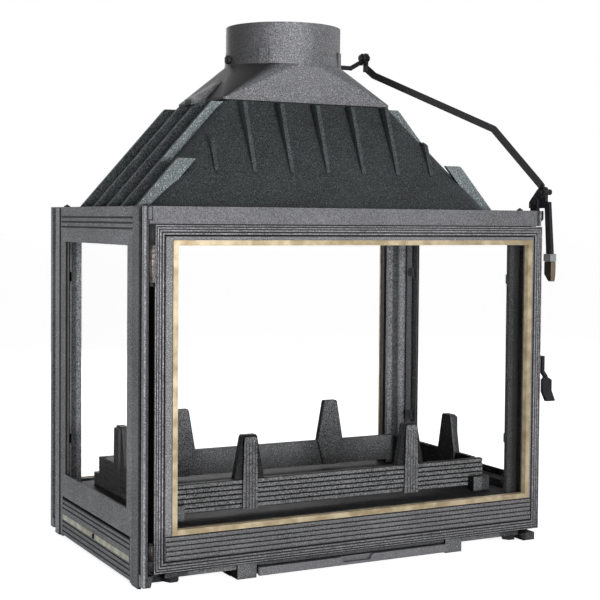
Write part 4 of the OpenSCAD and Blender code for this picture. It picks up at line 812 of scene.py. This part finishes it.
# Left, right, lower and upper edge, front and back
# Black tabs as painted shade round the ear and in the gap under the lintel
ear_shade_tab = rounded_tab("lintel_ear_shade", -353.2, -344.8, 545.6, 566.0, -227.3, -226.4)
ear_face = rounded_tab("lintel_ear", -352.0, -346.4, 547.4, 565.4, -227.9, -227.2)
gap_shade_strip = rounded_tab("lintel_gap_shade_strip", -349.0, 357.0, 540.25, 541.6, -214.0, -206.0, 0.3)
for piece, finish in ((ear_shade_tab, black_steel), (ear_face, front_iron),
                      (gap_shade_strip, black_steel)):
    piece.data.materials.append(finish)
    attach(piece, "firebox")
print("lintel pieces:", ear_shade_tab.name, ear_face.name, gap_shade_strip.name)

# %% [markdown]
# The dressed castings take the place of the plain CAD frames. The door's pieces ride with the
# door, and the rear frame's stay on the firebox. The lug sleeves are the pillar's half of each
# hinge, so they stay behind when the door swings.

# %% Place the castings on their bodies
for piece, body, finish, stands_for in (
        (door_casting, "front_door", door_iron, ["front_door_frame"]),
        (door_flutes, "front_door", door_iron, ["front_door_frame"]),
        (door_knuckles, "front_door", hinge_steel, ["front_door_frame"]),
        (rear_casting, "firebox", door_iron, ["rear_frame"]),
        (rear_flutes, "firebox", door_iron, ["rear_frame"])):
    piece.data.materials.append(finish)
    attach(piece, body)
    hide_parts(*stands_for)
lug_sleeves.data.materials.append(black_steel)
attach(lug_sleeves, "firebox")
print("dressed castings placed")

# %% [markdown]
# A rope of braided fibre seals each glazed frame. Its plaits show as a row of small bulges.
# Geometry Nodes suit this, because one plait repeats along a path: the path is the channel's
# middle line, and the tree puts a bead at every step and a core through them.

# %% Braided rope as a node tree
braided_rope = bpy.data.node_groups.new("braided_rope", "GeometryNodeTree")
rope_sockets = braided_rope.interface
rope_sockets.new_socket("Geometry", in_out="INPUT", socket_type="NodeSocketGeometry")
for label, value in (("Plait Step", 0.006), ("Plait Radius", 0.0024), ("Core Radius", 0.0018)):
    size_socket = rope_sockets.new_socket(label, in_out="INPUT", socket_type=number_socket)
    size_socket.default_value = value
rope_sockets.new_socket("Material", in_out="INPUT", socket_type="NodeSocketMaterial")
rope_sockets.new_socket("Geometry", in_out="OUTPUT", socket_type="NodeSocketGeometry")

rope_given = add_node(braided_rope, "NodeGroupInput")
rope_out = add_node(braided_rope, "NodeGroupOutput")
path = add_node(braided_rope, "GeometryNodeMeshToCurve")
steps = add_node(braided_rope, "GeometryNodeResampleCurve", mode="LENGTH")
bead = add_node(braided_rope, "GeometryNodeMeshUVSphere", {"Segments": 8, "Rings": 6})
tangent = add_node(braided_rope, "GeometryNodeInputTangent")
along_path = add_node(braided_rope, "FunctionNodeAlignRotationToVector", axis="Z")
set_beads = add_node(braided_rope, "GeometryNodeInstanceOnPoints", {"Scale": (1.0, 0.92, 1.55)})
core_ring = add_node(braided_rope, "GeometryNodeCurvePrimitiveCircle", {"Resolution": 8})
core = add_node(braided_rope, "GeometryNodeCurveToMesh")
beads_and_core = add_node(braided_rope, "GeometryNodeJoinGeometry")
real = add_node(braided_rope, "GeometryNodeRealizeInstances")
dyed = add_node(braided_rope, "GeometryNodeSetMaterial")
join(braided_rope,
     (rope_given.outputs["Geometry"], path.inputs["Mesh"]),
     (path.outputs["Curve"], steps.inputs["Curve"]),
     (rope_given.outputs["Plait Step"], steps.inputs["Length"]),
     (rope_given.outputs["Plait Radius"], bead.inputs["Radius"]),
     (tangent.outputs[0], along_path.inputs["Vector"]),
     (steps.outputs["Curve"], set_beads.inputs["Points"]),
     (bead.outputs["Mesh"], set_beads.inputs["Instance"]),
     (along_path.outputs["Rotation"], set_beads.inputs["Rotation"]),
     (rope_given.outputs["Core Radius"], core_ring.inputs["Radius"]),
     (path.outputs["Curve"], core.inputs["Curve"]),
     (core_ring.outputs["Curve"], core.inputs["Profile Curve"]),
     (set_beads.outputs["Instances"], beads_and_core.inputs["Geometry"]),
     (core.outputs["Mesh"], beads_and_core.inputs["Geometry"]),
     (beads_and_core.outputs["Geometry"], real.inputs["Geometry"]),
     (real.outputs["Geometry"], dyed.inputs["Geometry"]),
     (rope_given.outputs["Material"], dyed.inputs["Material"]),
     (dyed.outputs["Geometry"], rope_out.inputs["Geometry"]))
print("nodes in the rope tree:", len(braided_rope.nodes))

# %% [markdown]
# A path of a few points carries the tree as a modifier, and the result becomes a plain mesh,
# which is a piece like any other. The modifier's inputs are set by their identifiers, because
# their names are only labels.

# %% From a path to a rope
def rope_piece(name, corners, sizes, closed=True):
    line = bpy.data.meshes.new(name + "_path")
    edges = [(k, k + 1) for k in range(len(corners) - 1)]
    if closed:
        edges.append((len(corners) - 1, 0))
    line.from_pydata([tuple(part * mm for part in corner) for corner in corners], edges, [])
    carrier = bpy.data.objects.new(name + "_path", line)
    bpy.context.collection.objects.link(carrier)
    rope = carrier.modifiers.new("rope", "NODES")
    rope.node_group = braided_rope
    for item in braided_rope.interface.items_tree:
        if item.in_out == "INPUT" and item.name in sizes:
            rope[item.identifier] = sizes[item.name]
    graph = bpy.context.evaluated_depsgraph_get()
    mesh = bpy.data.meshes.new_from_object(carrier.evaluated_get(graph), depsgraph=graph)
    bpy.data.objects.remove(carrier)
    for face in mesh.polygons:
        face.use_smooth = True
    piece = bpy.data.objects.new(name, mesh)
    bpy.context.collection.objects.link(piece)
    return piece


print("one bead stands for one plait")

# %% [markdown]
# The ropes lie in the channels of the door and the rear frame, halfway between the channel's
# two walls. Their corners come from the frame's own edges and the channel's insets, so that
# rope and channel can't drift apart.

# %% Ropes in their channels
rope_y = -204.0
channel_middle = [(inner + outer) / 2 for inner, outer in zip(channel_inner, channel_outer)]


def channel_corners(bay, side):
    left, right, low, top = bay
    in_left, in_right, in_low, in_top = channel_middle
    x0, x1, z0, z1 = left + in_left, right - in_right, low + in_low, top - in_top
    return [(side * x, side * rope_y, z) for x, z in ((x0, z0), (x1, z0), (x1, z1), (x0, z1))]


def loop_length(corners):
    return sum(math.dist(here, after) for here, after in zip(corners, corners[1:] + corners[:1]))


rope_sizes = {"Plait Step": 0.0062, "Plait Radius": 0.0024, "Core Radius": 0.0019,
              "Material": fibre_seal}
door_channel, rear_channel = channel_corners(door_bay, 1), channel_corners(rear_bay, -1)
front_rope = rope_piece("front_rope_braid", door_channel, rope_sizes)
rear_rope = rope_piece("rear_rope_braid", rear_channel, rope_sizes)
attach(front_rope, "front_door")
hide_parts("front_door_rope")
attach(rear_rope, "firebox")
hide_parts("rear_rope")
print("rope lengths in mm:", loop_length(door_channel), loop_length(rear_channel))

# %% [markdown]
# A thinner cord of the same braid lies upright beside each edge of the side panes, between
# the glass and the jamb. It is seen at a slant as a light line, and the same tree makes it
# with smaller sizes, on a path that is open at both ends.

# %% Cords beside the side panes
pane_edge_x, jamb_face_y, sill_at, head_at = 351.2, 149.6, 112.0, 506.0
cord_sizes = {"Plait Step": 0.0042, "Plait Radius": 0.0013, "Core Radius": 0.0009,
              "Material": fibre_seal}
cord_places = (("side_cord_left_rear", -1, 1), ("side_cord_left_front", -1, -1),
               ("side_cord_right_rear", 1, 1), ("side_cord_right_front", 1, -1))
for cord_name, side, jamb in cord_places:
    cord = rope_piece(cord_name, [(side * pane_edge_x, jamb * jamb_face_y, sill_at),
                                  (side * pane_edge_x, jamb * jamb_face_y, head_at)],
                      cord_sizes, closed=False)
    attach(cord, "firebox")
print("cords:", len(cord_places), "length of each in mm:", head_at - sill_at)

# %% [markdown]
# Last comes the floor that the insert stands on. It is part of the studio, not of the insert.
# It is pale paper in the lamps' light, and the camera sees it lifted to white, so that it
# meets the surround without an edge and still keeps the soft shadow.

# %% Floor
floor_reach, floor_drop, floor_lift = 40.0, 0.0005, 0.86
floor_mesh = bpy.data.meshes.new("studio_floor")
floor_mesh.from_pydata([(-floor_reach, -floor_reach, 0), (floor_reach, -floor_reach, 0),
                        (floor_reach, floor_reach, 0), (-floor_reach, floor_reach, 0)],
                       [], [(0, 1, 2, 3)])
floor = bpy.data.objects.new("studio_floor", floor_mesh)
floor.location.z = -floor_drop
bpy.context.collection.objects.link(floor)
floor_paint = bpy.data.materials.new("pale_floor")
floor_paint.use_nodes = True
floor_tree = floor_paint.node_tree
floor_shader = floor_tree.nodes["Principled BSDF"]
floor_shader.inputs["Base Color"].default_value = (0.86, 0.86, 0.86, 1)
floor_shader.inputs["Roughness"].default_value = 0.9
floor_shader.inputs["Emission Color"].default_value = white
floor_ray = add_node(floor_tree, "ShaderNodeLightPath")
floor_seen = add_node(floor_tree, "ShaderNodeMath", operation="MAXIMUM")
lift = add_node(floor_tree, "ShaderNodeMath", {1: floor_lift}, operation="MULTIPLY")
join(floor_tree,
     (floor_ray.outputs["Is Camera Ray"], floor_seen.inputs[0]),
     (floor_ray.outputs["Is Transmission Ray"], floor_seen.inputs[1]),
     (floor_seen.outputs[0], lift.inputs[0]),
     (lift.outputs[0], floor_shader.inputs["Emission Strength"]))
floor_mesh.materials.append(floor_paint)
print("floor reaches", floor_reach, "m to each side")
